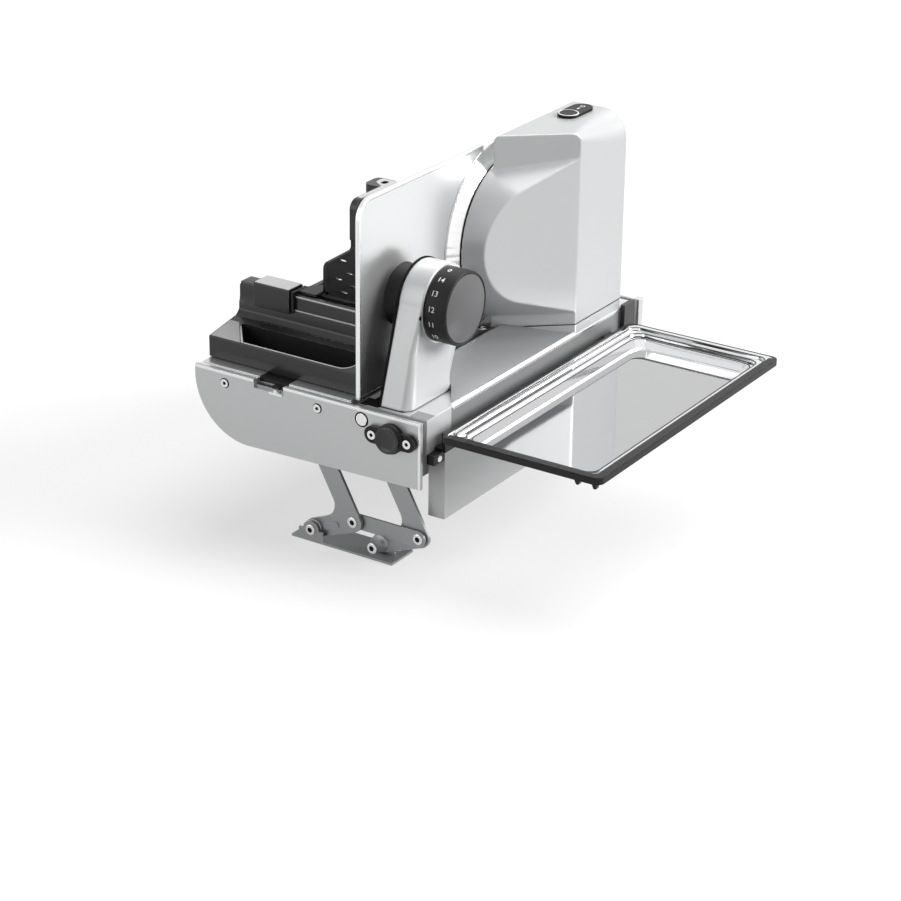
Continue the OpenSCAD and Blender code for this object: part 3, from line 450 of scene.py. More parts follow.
def mirror_rear(bm):
    """The same shape at the far end of the base"""
    copy = bm.copy()
    for v in copy.verts:
        v.co.y = DEPTH - v.co.y
    bmesh.ops.reverse_faces(copy, faces=copy.faces)
    return copy


def both_ends(bm):
    """Adds the same shape at the rear"""
    copy = mirror_rear(bm)
    spare = bpy.data.meshes.new("spare")
    copy.to_mesh(spare)
    copy.free()
    bm.from_mesh(spare)
    return bm


def piece(name, bm, body, material, bevel=0.0, steps=3, limit=30, smooth=40, replaces=()):
    """Finished piece of the part: its mesh, soft edges, material, body and the nodes it stands for"""
    for v in bm.verts:
        v.co = at(*v.co)
    bmesh.ops.recalc_face_normals(bm, faces=bm.faces)
    mesh = bpy.data.meshes.new(name)
    bm.to_mesh(mesh)
    bm.free()
    mesh.shade_smooth()
    obj = bpy.data.objects.new(name, mesh)
    bpy.context.scene.collection.objects.link(obj)
    mesh.materials.append(material)
    if bevel:
        mod = obj.modifiers.new("soft edges", "BEVEL")
        mod.width = bevel / 1000
        mod.segments = steps
        mod.limit_method = "ANGLE"
        mod.angle_limit = math.radians(limit)
        mod.harden_normals = True
    else:
        mesh.set_sharp_from_angle(angle=math.radians(smooth))
    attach(obj, body)
    if replaces:
        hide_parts(*replaces)
    return obj


def applied(bm, modifiers):
    """Mesh after its modifiers, as a new mesh in millimetres"""
    mesh = bpy.data.meshes.new("work")
    bm.to_mesh(mesh)
    obj = bpy.data.objects.new("work", mesh)
    bpy.context.scene.collection.objects.link(obj)
    helpers = []
    for kind, settings in modifiers:
        mod = obj.modifiers.new(kind.lower(), kind)
        for key, value in settings.items():
            if isinstance(value, bmesh.types.BMesh):
                other = bpy.data.meshes.new("tool")
                value.to_mesh(other)
                tool = bpy.data.objects.new("tool", other)
                bpy.context.scene.collection.objects.link(tool)
                helpers.append(tool)
                value = tool
            setattr(mod, key, value)
    bpy.context.view_layer.update()
    result = bpy.data.meshes.new_from_object(obj.evaluated_get(bpy.context.evaluated_depsgraph_get()))
    out = bmesh.new()
    out.from_mesh(result)
    for o in helpers + [obj]:
        bpy.data.objects.remove(o)
    return out


def closed(bm):
    bmesh.ops.recalc_face_normals(bm, faces=bm.faces)
    return bm


def joined(tool):
    return "BOOLEAN", {"operation": "UNION", "solver": "EXACT", "object": closed(tool)}


def less(tool):
    return "BOOLEAN", {"operation": "DIFFERENCE", "solver": "EXACT", "object": closed(tool)}


def softened(voxel, passes):
    """Modifiers that melt a joined shape into one skin with soft creases"""
    return [("REMESH", {"mode": "VOXEL", "voxel_size": voxel}),
            ("SMOOTH", {"factor": 0.5, "iterations": passes})]


def cut_away(bm, point, outward):
    """Takes off what lies beyond a plane and closes the cut"""
    cut = bmesh.ops.bisect_plane(bm, geom=bm.verts[:] + bm.edges[:] + bm.faces[:], dist=0.001,
                                 plane_co=point, plane_no=outward, clear_outer=True)
    bmesh.ops.holes_fill(bm, edges=[e for e in cut["geom_cut"] if isinstance(e, bmesh.types.BMEdge)])


def loft(rows, bm):
    n = len(rows[0])
    for one, two in zip(rows, rows[1:]):
        for k in range(n):
            bm.faces.new((one[k], one[(k + 1) % n], two[(k + 1) % n], two[k]))
    bm.faces.new(rows[0])
    bm.faces.new(rows[-1])
    return closed(bm)


# Motor housing: a body with a slanted front, and the swell that carries the D shaped flat
def housing_mesh():
    body = bmesh.new()
    rows = []
    for y, r in ((190, 7), (246, 7), (266, 13), (286, 18), (306, 22), (HOUSING_REAR, 24)):
        profile = [(HOUSING_LEFT, SEAM), (0, SEAM)] + arc(-r, ROOF - r, r, 0, 90, 14)
        profile += arc(HOUSING_LEFT + 4.5, ROOF - 4.5, 4.5, 90, 180, 6)
        rows.append([body.verts.new((x, y, z)) for x, z in profile])
    loft(rows, body)
    slant = Vector((50, HOUSING_LEFT, 0)).normalized()
    cut_away(body, (0, 246, 0), slant)
    swell = bmesh.new()
    for y, z in circle(*BLADE, GUARD_RADIUS, 96):
        swell.verts.new((-61.4, y, z))
        swell.verts.new((-60.4, y, z))
    along = Vector((42, 93, 0)).normalized()
    inward = Vector((-along.y, along.x, 0))
    foot = Vector((-42, 153, 0))
    flat = [(p[0], p[1]) for p in circle(57, 91.2, 53, 96)] + [(101.5, 162), (101.5, 20.5)]
    for depth in (0, 2):
        for u, z in flat:
            p = foot + along * u + inward * depth
            swell.verts.new((min(p.x, 0), p.y, z))
    bmesh.ops.convex_hull(swell, input=swell.verts)
    bmesh.ops.delete(swell, geom=[v for v in swell.verts if not v.link_faces], context="VERTS")
    return applied(closed(body), [joined(swell)] + softened(0.9, 4))


piece("motor_cover", housing_mesh(), "machine", silver_paint, smooth=70,
      replaces=["motor_housing", "blade_shroud"])
# Near-black lining between the blade and the housing's edge: painted shade of the gap
blade_gap_shade = bmesh.new()
turned(blade_gap_shade, "x", BLADE, [(-58, 52), (-58, 72), (-61.2, 73.3), (-62.0, 73.2), (-62.1, 72.6),
                                      (-61.7, 60), (-61.7, 52)], 128)
piece("blade_gap_shade_ring", blade_gap_shade, "machine", dark_gap_and_shade, smooth=35)

# Near-black strip in the recess where the housing meets the casting below it: painted shade
seam_shade = bmesh.new()
slab(seam_shade, "z", [(-52, 201.6), (-0.8, 246.6), (-0.8, 325.4), (-52, 325.4)], 7.5, 8.7)
piece("housing_seam_shade", seam_shade, "machine", dark_gap_and_shade, bevel=0.1)

# Casting with the slope that the slices slide down
casting = bmesh.new()
slope = soft_corners([(-50, -30), (0, -30), (0, -3), (-4, 0.2), (-50, 12)], [0.5, 0.5, 2.5, 4, 0.5])
slab(casting, "y", slope, 46, HOUSING_REAR)
landing = bmesh.new()
slab(landing, "z", [(-60, 40), (0.6, 40), (0.6, 45), (-20.5, 76), (-60, 76)], -40, 20)
casting = applied(closed(casting), [less(landing)])
piece("slice_ramp", casting, "machine", ramp_paint, bevel=0.6, replaces=["chassis"])
front_floor = bmesh.new()
slab(front_floor, "z", [(-50, 22.2), (0, 22.2), (0, 45.8), (-20.2, 76.2), (-50, 76.2)], -30, -0.1)
piece("ramp_front", front_floor, "machine", block_paint, bevel=0.4)
housing_foot = bmesh.new()
slab(housing_foot, "z", soft_corners([(-52.8, 200.6), (0, 246), (0, HOUSING_REAR),
                                      (HOUSING_LEFT, HOUSING_REAR), (HOUSING_LEFT, 210), (-52.8, 210)],
                                     [1, 4, 2, 2, 1, 1]), -3, 7.8)
piece("housing_foot", housing_foot, "machine", silver_paint, bevel=0.7)
# Brighter strip along the ramp's rounded right edge: painted highlight
ramp_highlight = bmesh.new()
slab(ramp_highlight, "y", soft_corners([(-3.4, -0.4), (0.6, -4.6), (0.6, -1.4), (-1.6, 0.9), (-3.4, 0.9)], 0.5, 4),
     47, 325.6)
piece("ramp_painted_highlight", ramp_highlight, "machine", rim_and_highlight_metal, bevel=0.2)
# Near-black floor, left wall and front strip of the plate's slot beside the ramp: painted shade of the slot,
# which the plate also mirrors
slot_shade = bmesh.new()
box_of(slot_shade, -66.5, -50.1, 22.4, 190, -8, -4)
box_of(slot_shade, -50.6, -49.9, 22.4, 190, -8, -0.6)
box_of(slot_shade, -66.8, -48.6, 8.7, 22.6, -0.6, 0.3)
piece("plate_slot_shade", slot_shade, "machine", dark_gap_and_shade, bevel=0.3)


# Blade with a wavy edge, ground to a cone on the housing's side
TOOTH_DEPTH = 1.5


def blade_mesh():
    bm = bmesh.new()
    teeth, per = 64, 12
    steps = teeth * per
    # Place along the axis, radius, and how deep the teeth are there
    rings = [(-71.0, 14, 0), (-71.5, 14.5, 0), (-71.5, 77, 0), (-71.3, 84.6, 1), (-71.1, 85, 1),
             (-70.9, 84.6, 1), (-70.6, 83.4, 0.6), (-63.0, 73.0, 0), (-62.6, 72.3, 0), (-63.0, 71.7, 0),
             (-70.2, 70.5, 0), (-70.3, 14.5, 0), (-70.8, 14, 0)]
    rows = []
    for x, r, wave in rings:
        row = []
        for k in range(steps):
            a = 2 * math.pi * k / steps
            dip = abs(math.sin(math.pi * k / per))
            rr = r - wave * TOOTH_DEPTH * (1 - dip)
            row.append(bm.verts.new((x, BLADE[0] + rr * math.cos(a), BLADE[1] + rr * math.sin(a))))
        rows.append(row)
    for i, one in enumerate(rows):
        two = rows[(i + 1) % len(rows)]
        for k in range(steps):
            bm.faces.new((one[k], one[(k + 1) % steps], two[(k + 1) % steps], two[k]))
    return bm


piece("serrated_blade", blade_mesh(), "blade_set", blade_steel, smooth=25)


# Stop plate with its raised rim
def plate_outline(inset):
    near, bottom, top = 9 + inset, 1.5 + inset, 175 - inset
    r = 87 + inset
    end = 195.6 - inset
    pts = arc(near + 18 - inset, top - 18 + inset, 18 - inset, 180, 90, 10)
    upper = math.degrees(math.acos(max(-1, min(1, (end - BLADE[0]) / r))))
    low_a = 180 - (math.degrees(math.asin((bottom - BLADE[1]) / r)))
    out = [(near, bottom)] + pts + [(end, top)]
    out += arc(*BLADE, r, upper, low_a, 40)
    return out


sheet = bmesh.new()
slab(sheet, "x", plate_outline(0), PLATE_LEFT, PLATE_RIGHT)
piece("stop_plate_sheet", sheet, "plate", plate_metal, bevel=0.5, replaces=["stop_plate"])
rim = bmesh.new()
slab(rim, "x", plate_outline(0.3), -67.7, -67.0, [plate_outline(2.6)])
piece("stop_plate_rim", rim, "plate", plate_edge, bevel=0.3)

groove = bmesh.new()
slab(groove, "x", plate_outline(2.5), -67.66, -67.5, [plate_outline(3.2)])
piece("plate_groove", groove, "plate", insert_grey, smooth=35)

hub = bmesh.new()
turned(hub, "x", DIAL, [(-67.6, 27), (-66.5, 26.6), (-65.5, 26), (-46.4, 25.7), (-46, 25.4)], 96)
piece("plate_hub", hub, "plate", dial_side, smooth=35, replaces=["plate_boss"])


# Arm that carries the dial: a round head, and a foot that widens and rounds off towards the base
def arm_front(z):
    return 11 + 0.3169 * z


def arm_row(bm, z, back, outer, corner):
    """One level of the arm's foot, with its front right edge rounded off"""
    near = arm_front(z)
    pts = [(-48, near)]
    pts += [(outer - corner + corner * math.sin(a), near + corner - corner * math.cos(a))
            for a in (math.pi / 2 * k / 10 for k in range(11))]
    pts += [(outer, back[0]), (-25, back[1]), (-48, back[1])]
    return [bm.verts.new((x, y, z)) for x, y in pts]


def arm_mesh():
    head = bmesh.new()
    outline = [(26, 0.5), (75, 0.5)] + arc(*DIAL, 34.6, -25, 196, 60)
    slab(head, "x", outline, -48, -25)
    foot, edge = bmesh.new(), bmesh.new()
    levels = [0.5 + 44.5 * k / 24 for k in range(25)]
    spots = [(0, 74.8), (9.2, 74.2), (23.4, 77.4), (34.3, 82.5), (45, 90)]
    rows = []
    for z in levels:
        for (z0, y0), (z1, y1) in zip(spots, spots[1:]):
            if z0 <= z <= z1:
                flare_back = y0 + (y1 - y0) * (z - z0) / (z1 - z0)
        outer = -25 + 5 * (1 - z / 45) ** 0.8
        rows.append(arm_row(foot, z, (flare_back, 75 + 0.468 * z), outer, 10 - 8.6 * z / 75))
    loft(rows, foot)
    rows = [arm_row(edge, z, (46, 46.5), -25, max(10 - 8.6 * z / 75, 1.2))
            for z in (40 + 47.5 * k / 16 for k in range(17))]
    loft(rows, edge)
    bore = bmesh.new()
    turned(bore, "x", DIAL, [(-50, 26.4), (-30, 26.4)], 96)
    return applied(closed(head), [joined(foot), joined(edge), less(bore)] + softened(0.7, 7))


piece("dial_column", arm_mesh(), "machine", silver_paint, smooth=70, replaces=["dial_arm"])
# Near-black sheet on the arm's left face: painted shade, so the plate mirrors a dark gap between itself and
# the arm
arm_shade = bmesh.new()
slab(arm_shade, "x", [(10.4, 0.8), (75.5, 0.8)] + arc(*DIAL, 35.6, -25, 163, 50), -49.3, -47.7,
     [circle(*DIAL, 26.4, 64)])
piece("arm_painted_shade", arm_shade, "machine", dark_gap_and_shade, bevel=0.3)
foot_seam = bmesh.new()
slab(foot_seam, "z", [(-47.4, 11.8), (-26, 11.8), (-20.9, 19), (-20.9, 74), (-47.4, 74)], -0.3, 1.2)
piece("arm_seam", foot_seam, "machine", dark_gap_and_shade, bevel=0.1)
mark = bmesh.new()
slab(mark, "x", [(33.6, 75.5), (35.7, 73.2), (37.4, 75.5), (35.7, 77.8)], -25.4, -24.75)
piece("index_mark", mark, "machine", dark_gap_and_shade, bevel=0.1)

# Thickness dial
seat = bmesh.new()
slab(seat, "x", circle(*DIAL, 33.4, 128), -25.1, -24.75, [circle(*DIAL, 9, 32)])
piece("dial_seat", seat, "machine", plate_edge, smooth=35)
dial = bmesh.new()
turned(dial, "x", DIAL, [(-9.6, 0.5), (-9.6, 8.2), (-24.5, 8.2), (-24.5, 29.5), (-24.2, 31.4),
                         (-23.6, DIAL_RADIUS), (-5.4, DIAL_RADIUS), (-4.4, 31.5), (-3.8, 30.3), (-4.3, 29.7),
                         (-4.6, 29.2), (-4.7, 28), (-4.7, 0.5)], 128)
piece("thickness_dial", dial, "dial", dial_side, smooth=35, replaces=["dial"])
face = bmesh.new()
turned(face, "x", DIAL, [(-4.9, 29.0), (-4.2, 29.0), (-3.9, 28.5), (-3.8, 0.5)], 128)
piece("dial_face", face, "dial", dial_grey, smooth=35)


def number_mesh(bm, text, size, put):
    """Raised figures of a number, each point placed by put(across, up)"""
    curve = bpy.data.curves.new("figures", "FONT")
    curve.body = text
    curve.size = size
    curve.align_x = "CENTER"
    curve.align_y = "CENTER"
    curve.resolution_u = 3
    curve.offset = 0.05
    obj = bpy.data.objects.new("figures", curve)
    bpy.context.scene.collection.objects.link(obj)
    mesh = obj.to_mesh()
    verts = [bm.verts.new(put(v.co.x, v.co.y)) for v in mesh.vertices]
    for p in mesh.polygons:
        try:
            bm.faces.new([verts[i] for i in p.vertices])
        except ValueError:
            pass
    obj.to_mesh_clear()
    bpy.data.objects.remove(obj)


FIGURE_RADIUS = DIAL_RADIUS + 0.2
HIGHEST, HIGHEST_ANGLE, ANGLE_STEP = 14, 31.5, 24.0
figures = bmesh.new()
for value in range(HIGHEST + 1):
    angle = math.radians(HIGHEST_ANGLE + ANGLE_STEP * (HIGHEST - value))

    def on_rim(across, above, angle=angle):
        a = angle - above / FIGURE_RADIUS
        return -17.5 + across, DIAL[0] - FIGURE_RADIUS * math.sin(a), DIAL[1] + FIGURE_RADIUS * math.cos(a)
    number_mesh(figures, str(value), 6.8, on_rim)
piece("dial_numbers", figures, "dial", print_white, smooth=60)


# Carriage: front trough with its pocket, push wall with two ledges, and the food floor
POCKET = soft_corners([(-198, 22.6), (-87, 22.6), (-87, 49), (-220, 49)], [2.5, 12, 1.5, 2])


def carriage_side():
    return soft_corners([(20, 0.4), (20, 19.3), (58.5, 26.2), (63, 30.5), (63.4, 40.4), (64.6, 41.6),
                         (64.8, 52), (66.2, 53.4), (66.8, 55), (82, 55), (82, 0.4)],
                        [0.4, 1.2, 5, 3, 0.3, 0.5, 0.3, 0.6, 0.3, 0.8, 0.4], 5)


def carriage_mesh():
    bm = bmesh.new()
    slab(bm, "x", carriage_side(), CARRIAGE_LEFT, CARRIAGE_RIGHT)
    pocket = bmesh.new()
    slab(pocket, "z", POCKET, 4, 40)
    groove = bmesh.new()
    box_of(groove, -212, -70, 69, 77, 48.5, 60)
    crease = bmesh.new()
    box_of(crease, -240, -70, 56.6, 57.4, 25.2, 30)
    scoop = bmesh.new()
    turned(scoop, "x", (52, 42), [(-240, 12.6), (-226, 12.2), (-216, 9), (-214, 2)], 64)
    return applied(closed(bm), [less(tool) for tool in (pocket, groove, crease, scoop)])


def lay_on_land(bm, height=LAND):
    """Tilts a flat shape onto the carriage's sloping top"""
    for v in bm.verts:
        v.co.z += height + (v.co.y - 20) * LAND_SLOPE
    return bm


piece("carriage_trough", carriage_mesh(), "carriage", charcoal, bevel=0.6, limit=40,
      replaces=["carriage_body", "push_wall"])
# Lighter grey slab on the trough's top beside the pocket: painted sheen where light falls on the top
land = bmesh.new()
slab(land, "z", [(-231.6, 21.2), (-200.2, 21.2), (-222, 49), (-231.6, 49)], 0, 0.12)
piece("trough_land", lay_on_land(land), "carriage", top_sheen_plastic, smooth=30)
# Light rods along the two ledges of the push wall: painted highlights on their rounded edges
ledge_highlights = bmesh.new()
for y, z in ((64.0, 41.5), (65.4, 53.3)):
    slab(ledge_highlights, "x", circle(y, z, 0.75, 10), -176, -76)
piece("wall_ledge_highlights", ledge_highlights, "carriage", highlight_plastic, smooth=50)
# Light band round the pocket's top edge: painted highlight
lip_highlight = bmesh.new()
slab(lip_highlight, "z", soft_corners([(-199.4, 21.5), (-86, 21.5), (-86, 50), (-221.6, 50)], [3.4, 13, 2, 2.5]),
     0, 0.35, [POCKET])
cut_away(lip_highlight, (0, 44, 0), (0, 1, 0))
piece("pocket_lip_highlight", lay_on_land(lip_highlight, LAND - 0.15), "carriage", highlight_plastic,
      bevel=0.12)
food_floor = bmesh.new()
slab(food_floor, "y", [(CARRIAGE_LEFT, 0.4), (CARRIAGE_RIGHT, 0.4), (CARRIAGE_RIGHT, 4),
                       (CARRIAGE_LEFT + 4, 4), (CARRIAGE_LEFT + 4, 19.2), (CARRIAGE_LEFT, 19.2)], 82, 212)
for k in range(9):
    box_of(food_floor, -222 + 16 * k, -216 + 16 * k, 88, 206, 3.8, 4.4)
piece("food_floor", food_floor, "carriage", charcoal, bevel=0.4)
keel = bmesh.new()
box_of(keel, -169.9, -139.1, 20.2, 211.8, -0.9, 2)
piece("carriage_keel", keel, "carriage", black_plastic, bevel=0.3)

# Food holder: grip over the wall, bar, spike shield and head
grip = bmesh.new()
slab(grip, "x", soft_corners([(60, 38), (63.2, 38), (63.2, 55.2), (80.5, 55.2), (80.5, 60), (60, 60)],
                             [0.8, 0.4, 0.2, 0.4, 1.5, 1.5]), -214, -176.5)
piece("holder_grip", grip, "holder", charcoal, bevel=0.6, replaces=["holder_slider"])
# Lighter grey slab on the grip's top: painted sheen where light falls on the top
grip_top_sheen = bmesh.new()
slab(grip_top_sheen, "z", rounded_box(-213.4, 60.8, -177.1, 79.9, 0.8), 59.8, 60.25)
piece("grip_top", grip_top_sheen, "holder", top_sheen_grey, bevel=0.15)
link = bmesh.new()
slab(link, "z", soft_corners([(-174.6, 69), (-154.5, 69), (-154.5, 92), (-166, 92), (-174.6, 80)],
                             [1, 1, 2, 3, 2]), 55.3, 58)
box_of(link, -175.4, -172.6, 61.4, 82, 40, 58.4)
piece("holder_bar", link, "holder", black_plastic, bevel=0.5)
end_ribs = bmesh.new()
for k, (low, high) in enumerate([(31.5, 44.6), (45.2, 47.2), (47.8, 49.6), (50.2, 52.6)]):
    reach = 8 if k % 2 == 0 else 7.4
    end = arc(-223.6, 74, reach, 90, 270, 14)
    slab(end_ribs, "z", end + [(-213.8, 74 - reach), (-213.8, 74 + reach)], low, high + 0.7)
piece("wall_end_ribs", end_ribs, "carriage", charcoal, bevel=0.35)
shield = bmesh.new()
slab(shield, "x", soft_corners([(84.2, 26), (188, 26), (188, 128), (122, 128), (122, 84), (81, 83),
                                (80.5, 57.5), (84.2, 57)], [3, 3, 4, 8, 3, 5, 1, 1]), *SPIKE_SHIELD)
piece("spike_shield", shield, "holder", black_plastic, bevel=0.9, replaces=["spike_plate"])
points = bmesh.new()
SPIKE_STEP = 16
for z, first, count in ((35, 96.1, 6), (50, 88.4, 6), (65, 96.1, 6), (80, 102.5, 1)):
    for k in range(count):
        turned(points, "x", (first + SPIKE_STEP * k, z), [(-152.2, 1.1), (-148.4, 0.9), (-146.0, 0.15)], 12)
piece("spike_points", points, "holder", turned_steel, smooth=35, replaces=["spikes"])


def head_mesh():
    """Head above the shield: a narrow strip that widens at the back"""
    bm = bmesh.new()
    slab(bm, "x", soft_corners([(121, 92), (128, 92), (134, 106), (188, 106), (188, 128.4), (121, 128.4)],
                               [1, 2, 3, 1, 3, 9]), -155.4, -148.6)
    lump = bmesh.new()
    slab(lump, "z", rounded_box(-172, 166.2, -149, 187.9, 5), 106.1, 128.35)
    slot = bmesh.new()
    slab(slot, "z", soft_corners([(-160.5, 174), (-154, 174), (-154, 182), (-160.5, 182)], 3), 125, 130)
    return applied(closed(bm), [joined(lump), less(slot)])


piece("holder_knob", head_mesh(), "holder", charcoal, bevel=1.4, steps=4, limit=50,
      replaces=["holder_head"])
# Lighter grey slab on the head's top: painted sheen, as on the grip
head_top_sheen = bmesh.new()
slab(head_top_sheen, "z", soft_corners([(-154.4, 131), (-149.6, 131), (-149.6, 186), (-166, 186), (-165, 175),
                                  (-154.4, 168)],
                                 [2, 1.5, 1.5, 3, 5, 3]), 128.1, 128.7,
     [rounded_box(-160.5, 174, -154.6, 182, 2.5)])
piece("head_painted_sheen", head_top_sheen, "holder", top_sheen_grey, bevel=0.3)


# Screws with a star socket, seen from the front or, turned, from the rear
def star(x, z, outer, inner, points_count=6):
    out = []
    for k in range(points_count * 2):
        a = math.pi * k / points_count
        r = outer if k % 2 == 0 else inner
        out.append((x + r * math.cos(a), z + r * math.sin(a)))
    return out


def star_screws(name, spots, body, r, face, proud, node, rear=True):
    """Round heads with a star socket at each (x, z), and behind each a near-black disc: painted shade in the
    socket and a painted shadow ring round the head
    """
    heads, socket_shade = bmesh.new(), bmesh.new()
    for x, z in spots:
        slab(heads, "y", circle(x, z, r, 32), face - proud, face, [star(x, z, r * 0.55, r * 0.36)])
        slab(socket_shade, "y", circle(x, z, r + 0.8, 32), face - 0.15, face + 0.3)
    if rear:
        both_ends(heads)
        both_ends(socket_shade)
    piece(name + "_heads", heads, body, turned_steel, bevel=0.25, replaces=[node])
    piece(name + "_socket_shading", socket_shade, body, dark_gap_and_shade, bevel=0.05)


# Cheek plates with their raised rims
def cheek_outline(inset=0.0):
    left, bottom = -233 + inset, -63.5 + inset
    r = 56 - inset
    pts = arc(-177, -7.5, r, 180, 270, 24)
    pts = [(left, -inset)] + pts + [(-inset, -59.5 + inset), (-inset, -inset)]
    pts += [(-139, -inset), (-139, -8), (-144, -8), (-144, -6), (-149, -6), (-149, -8), (-170, -8),
            (-170, -inset)]
    return pts


front_plate = bmesh.new()
slab(front_plate, "y", cheek_outline(), 0, 3, [circle(-59, -10, 6.7, 32)])
rear_plate = mirror_rear(front_plate)
piece("front_cheek_plate", front_plate, "base", cheek_metal, bevel=0.4,
      replaces=["front_cheek"])
piece("rear_cheek_plate", rear_plate, "base", cheek_metal, bevel=0.4,
      replaces=["rear_cheek"])
rims = bmesh.new()
slab(rims, "y", [(-139, -0.2), (-0.2, -0.2), (-0.2, -59.2), (-2.7, -59), (-2.7, -2.7), (-139, -2.7)],
     -0.7, 0.1)
slab(rims, "y", [(-232.8, -0.2), (-170, -0.2), (-170, -2.7), (-232.6, -2.7)], -0.7, 0.1)
both_ends(rims)
piece("cheek_rims", rims, "base", rim_and_highlight_metal, bevel=0.3)
flanges = bmesh.new()
for x0, x1 in ((-232.6, -170.4), (-138.6, -74)):
    box_of(flanges, x0, x1, 2.8, 4.6, -2.2, -0.3)
    box_of(flanges, x0, x1, 5.1, 7.9, -2.2, -0.9)
both_ends(flanges)
piece("cheek_flanges", flanges, "base", rim_and_highlight_metal, bevel=0.2)
gaps = bmesh.new()
for x0, x1 in ((-232.4, -170.6), (-138.4, -74.2)):
    box_of(gaps, x0, x1, 2.6, 7.95, -2.4, -1.7)
both_ends(gaps)
piece("flange_grooves", gaps, "base", dark_gap_and_shade, bevel=0.05)
disc = bmesh.new()
turned(disc, "y", (-59, -10), [(0.6, 5.5), (-0.35, 5.5), (-0.6, 5.2), (-0.6, 0.4)], 48)
both_ends(disc)
piece("fold_disc", disc, "base", rim_and_highlight_metal, smooth=35)
disc_ring = bmesh.new()
turned(disc_ring, "y", (-59, -10), [(1.5, 6.7), (-0.2, 6.7), (-0.3, 6.5), (-0.3, 5.3), (1.5, 5.3)], 48)
both_ends(disc_ring)
piece("fold_disc_ring", disc_ring, "base", dark_gap_and_shade, smooth=35)
tabs = bmesh.new()
slab(tabs, "y", soft_corners([(-154, -9.4), (-140.5, -9.4), (-140.5, -7.4), (-146, -7.4), (-146, -4.6),
                              (-149, -4.6), (-149, -7.4), (-154, -7.4)], 0.5, 3), -0.5, 2.8)
both_ends(tabs)
piece("notch_tab", tabs, "base", rim_and_highlight_metal, bevel=0.3)
star_screws("cheek_screw", [(-201, -10.8), (-104, -10.8)], "base", 3.7, 0.0, 0.9, "cheek_screws")

# Latch at the front, with its two ears
lug = bmesh.new()
ears = arc(-46, -19, 7.5, 90, 270, 20) + arc(-11, -19, 7.5, -90, 90, 20)
slab(lug, "y", ears, -4.2, 0)
turned(lug, "y", (-28.5, -19), [(0, 13), (-4.6, 13), (-5.3, 12.3), (-5.3, 4.3), (0, 4.3)], 72)
piece("latch_lugs", lug, "base", black_plastic, bevel=0.5, limit=50,
      replaces=["latch_housing"])
button = bmesh.new()
turned(button, "y", (-28.5, -19), [(-5.4, 10.8), (-5.9, 11.5), (-8.6, 11.5), (-9.1, 11.1), (-9.3, 10.4),
                                   (-9.1, 9.2), (-8.2, 8.0), (-7.9, 6.5), (-7.8, 0.4)], 72)
piece("latch_button", button, "latch", charcoal, smooth=35, replaces=["latch_knob"])
star_screws("latch_screw", [(-46, -19), (-11, -19)], "base", 3.9, -4.2, 1.0, "latch_screws",
            rear=False)

# End block, tray rail and the rear end's cap
insert = bmesh.new()
slab(insert, "z", soft_corners([(-17, 9.2), (-0.4, 9.2), (-0.4, 21.4), (-17, 21.4)], 1.0), -0.2, 0.35)
piece("block_insert", insert, "machine", insert_grey, bevel=0.2)
rail_pins = bmesh.new()
turned(rail_pins, "x", (15.5, -34), [(0.6, 3), (8.6, 3), (9.2, 2.4), (9.2, 0.4)], 32)
piece("rail_pin", rail_pins, "machine", turned_steel, smooth=35)
cap_strips = bmesh.new()
for k in range(3):
    box_of(cap_strips, 5.6, 6.2, 350.6 + 2.4 * k, 352.2 + 2.4 * k, -50, -1)
piece("cap_lines", cap_strips, "base", rim_and_highlight_metal, bevel=0.2)

# Tray
def tray_loop(inset):
    """Outline of the tray with its left side at inset, and the other sides in by as much"""
    d = inset - TRAY[0]
    return rounded_box(TRAY[0] + d, TRAY[1] + d, TRAY[2] - d, TRAY[3] - d, max(7 + d * 0.2, 4))


tray_rim = bmesh.new()
slab(tray_rim, "z", tray_loop(TRAY[0]), -15, -9.6, [rounded_box(19.5, 11, 160.5, 314, 5)])
for x in (140, 156):
    hook = soft_corners([(x, -14), (x + 6, -14), (x + 5, -19.5), (x + 2.5, -19.5)], 0.8, 3)
    slab(tray_rim, "y", hook, 8, 12)
slab(tray_rim, "z", soft_corners([(20, 6.2), (165.3, 6.2), (165.3, 312), (158.5, 312), (158.5, 13), (20, 13)],
                                [1, 6.8, 1, 1, 5.5, 1]), -9.3, -8.75)
piece("tray_edge", tray_rim, "tray", black_plastic, bevel=0.8, replaces=["tray_frame"])


def pan_mesh():
    """Rim of the pan in steps, closed underneath; its bottom is a piece of its own"""
    bm = bmesh.new()
    rows = [(17.3, -10.4), (17.4, -9.3), (18.0, -9.0), (21.6, -9.0), (22.2, -9.4), (22.8, -11.2),
            (23.4, -11.6), (27.0, -11.7), (27.6, -12.1), (28.4, -13.9), (29.0, -14.2), (30.6, -14.3),
            (31.4, -15.0), (33.0, -22.6), (35.4, -24.0), (60, -24.0)]
    rows += [(d, z - 0.9) for d, z in reversed(rows) if z < -9.2]
    loops = []
    for inset, z in rows:
        loops.append([bm.verts.new((x, y, z)) for x, y in tray_loop(inset)])
    for one, two in zip(loops, loops[1:] + loops[:1]):
        n = len(one)
        for i in range(n):
            bm.faces.new((one[i], one[(i + 1) % n], two[(i + 1) % n], two[i]))
    return bm


piece("mirror_pan", pan_mesh(), "tray", mirror_steel, smooth=28, replaces=["tray_pan"])
bottom = bmesh.new()
slab(bottom, "z", rounded_box(35.2, 26.7, 144.8, 298.3, 5), -24.8, -23.9)
lines = bmesh.new()
for outer, inner, z in ((21.7, 22.3, -9.15), (27.1, 27.8, -11.7), (30.4, 31.4, -14.5)):
    slab(lines, "z", tray_loop(outer), z - 0.5, z + 0.12, [tray_loop(inner)])
piece("pan_step_lines", lines, "tray", seal_black, smooth=35)
piece("pan_floor", bottom, "tray", pan_floor_shaded, bevel=0.3)


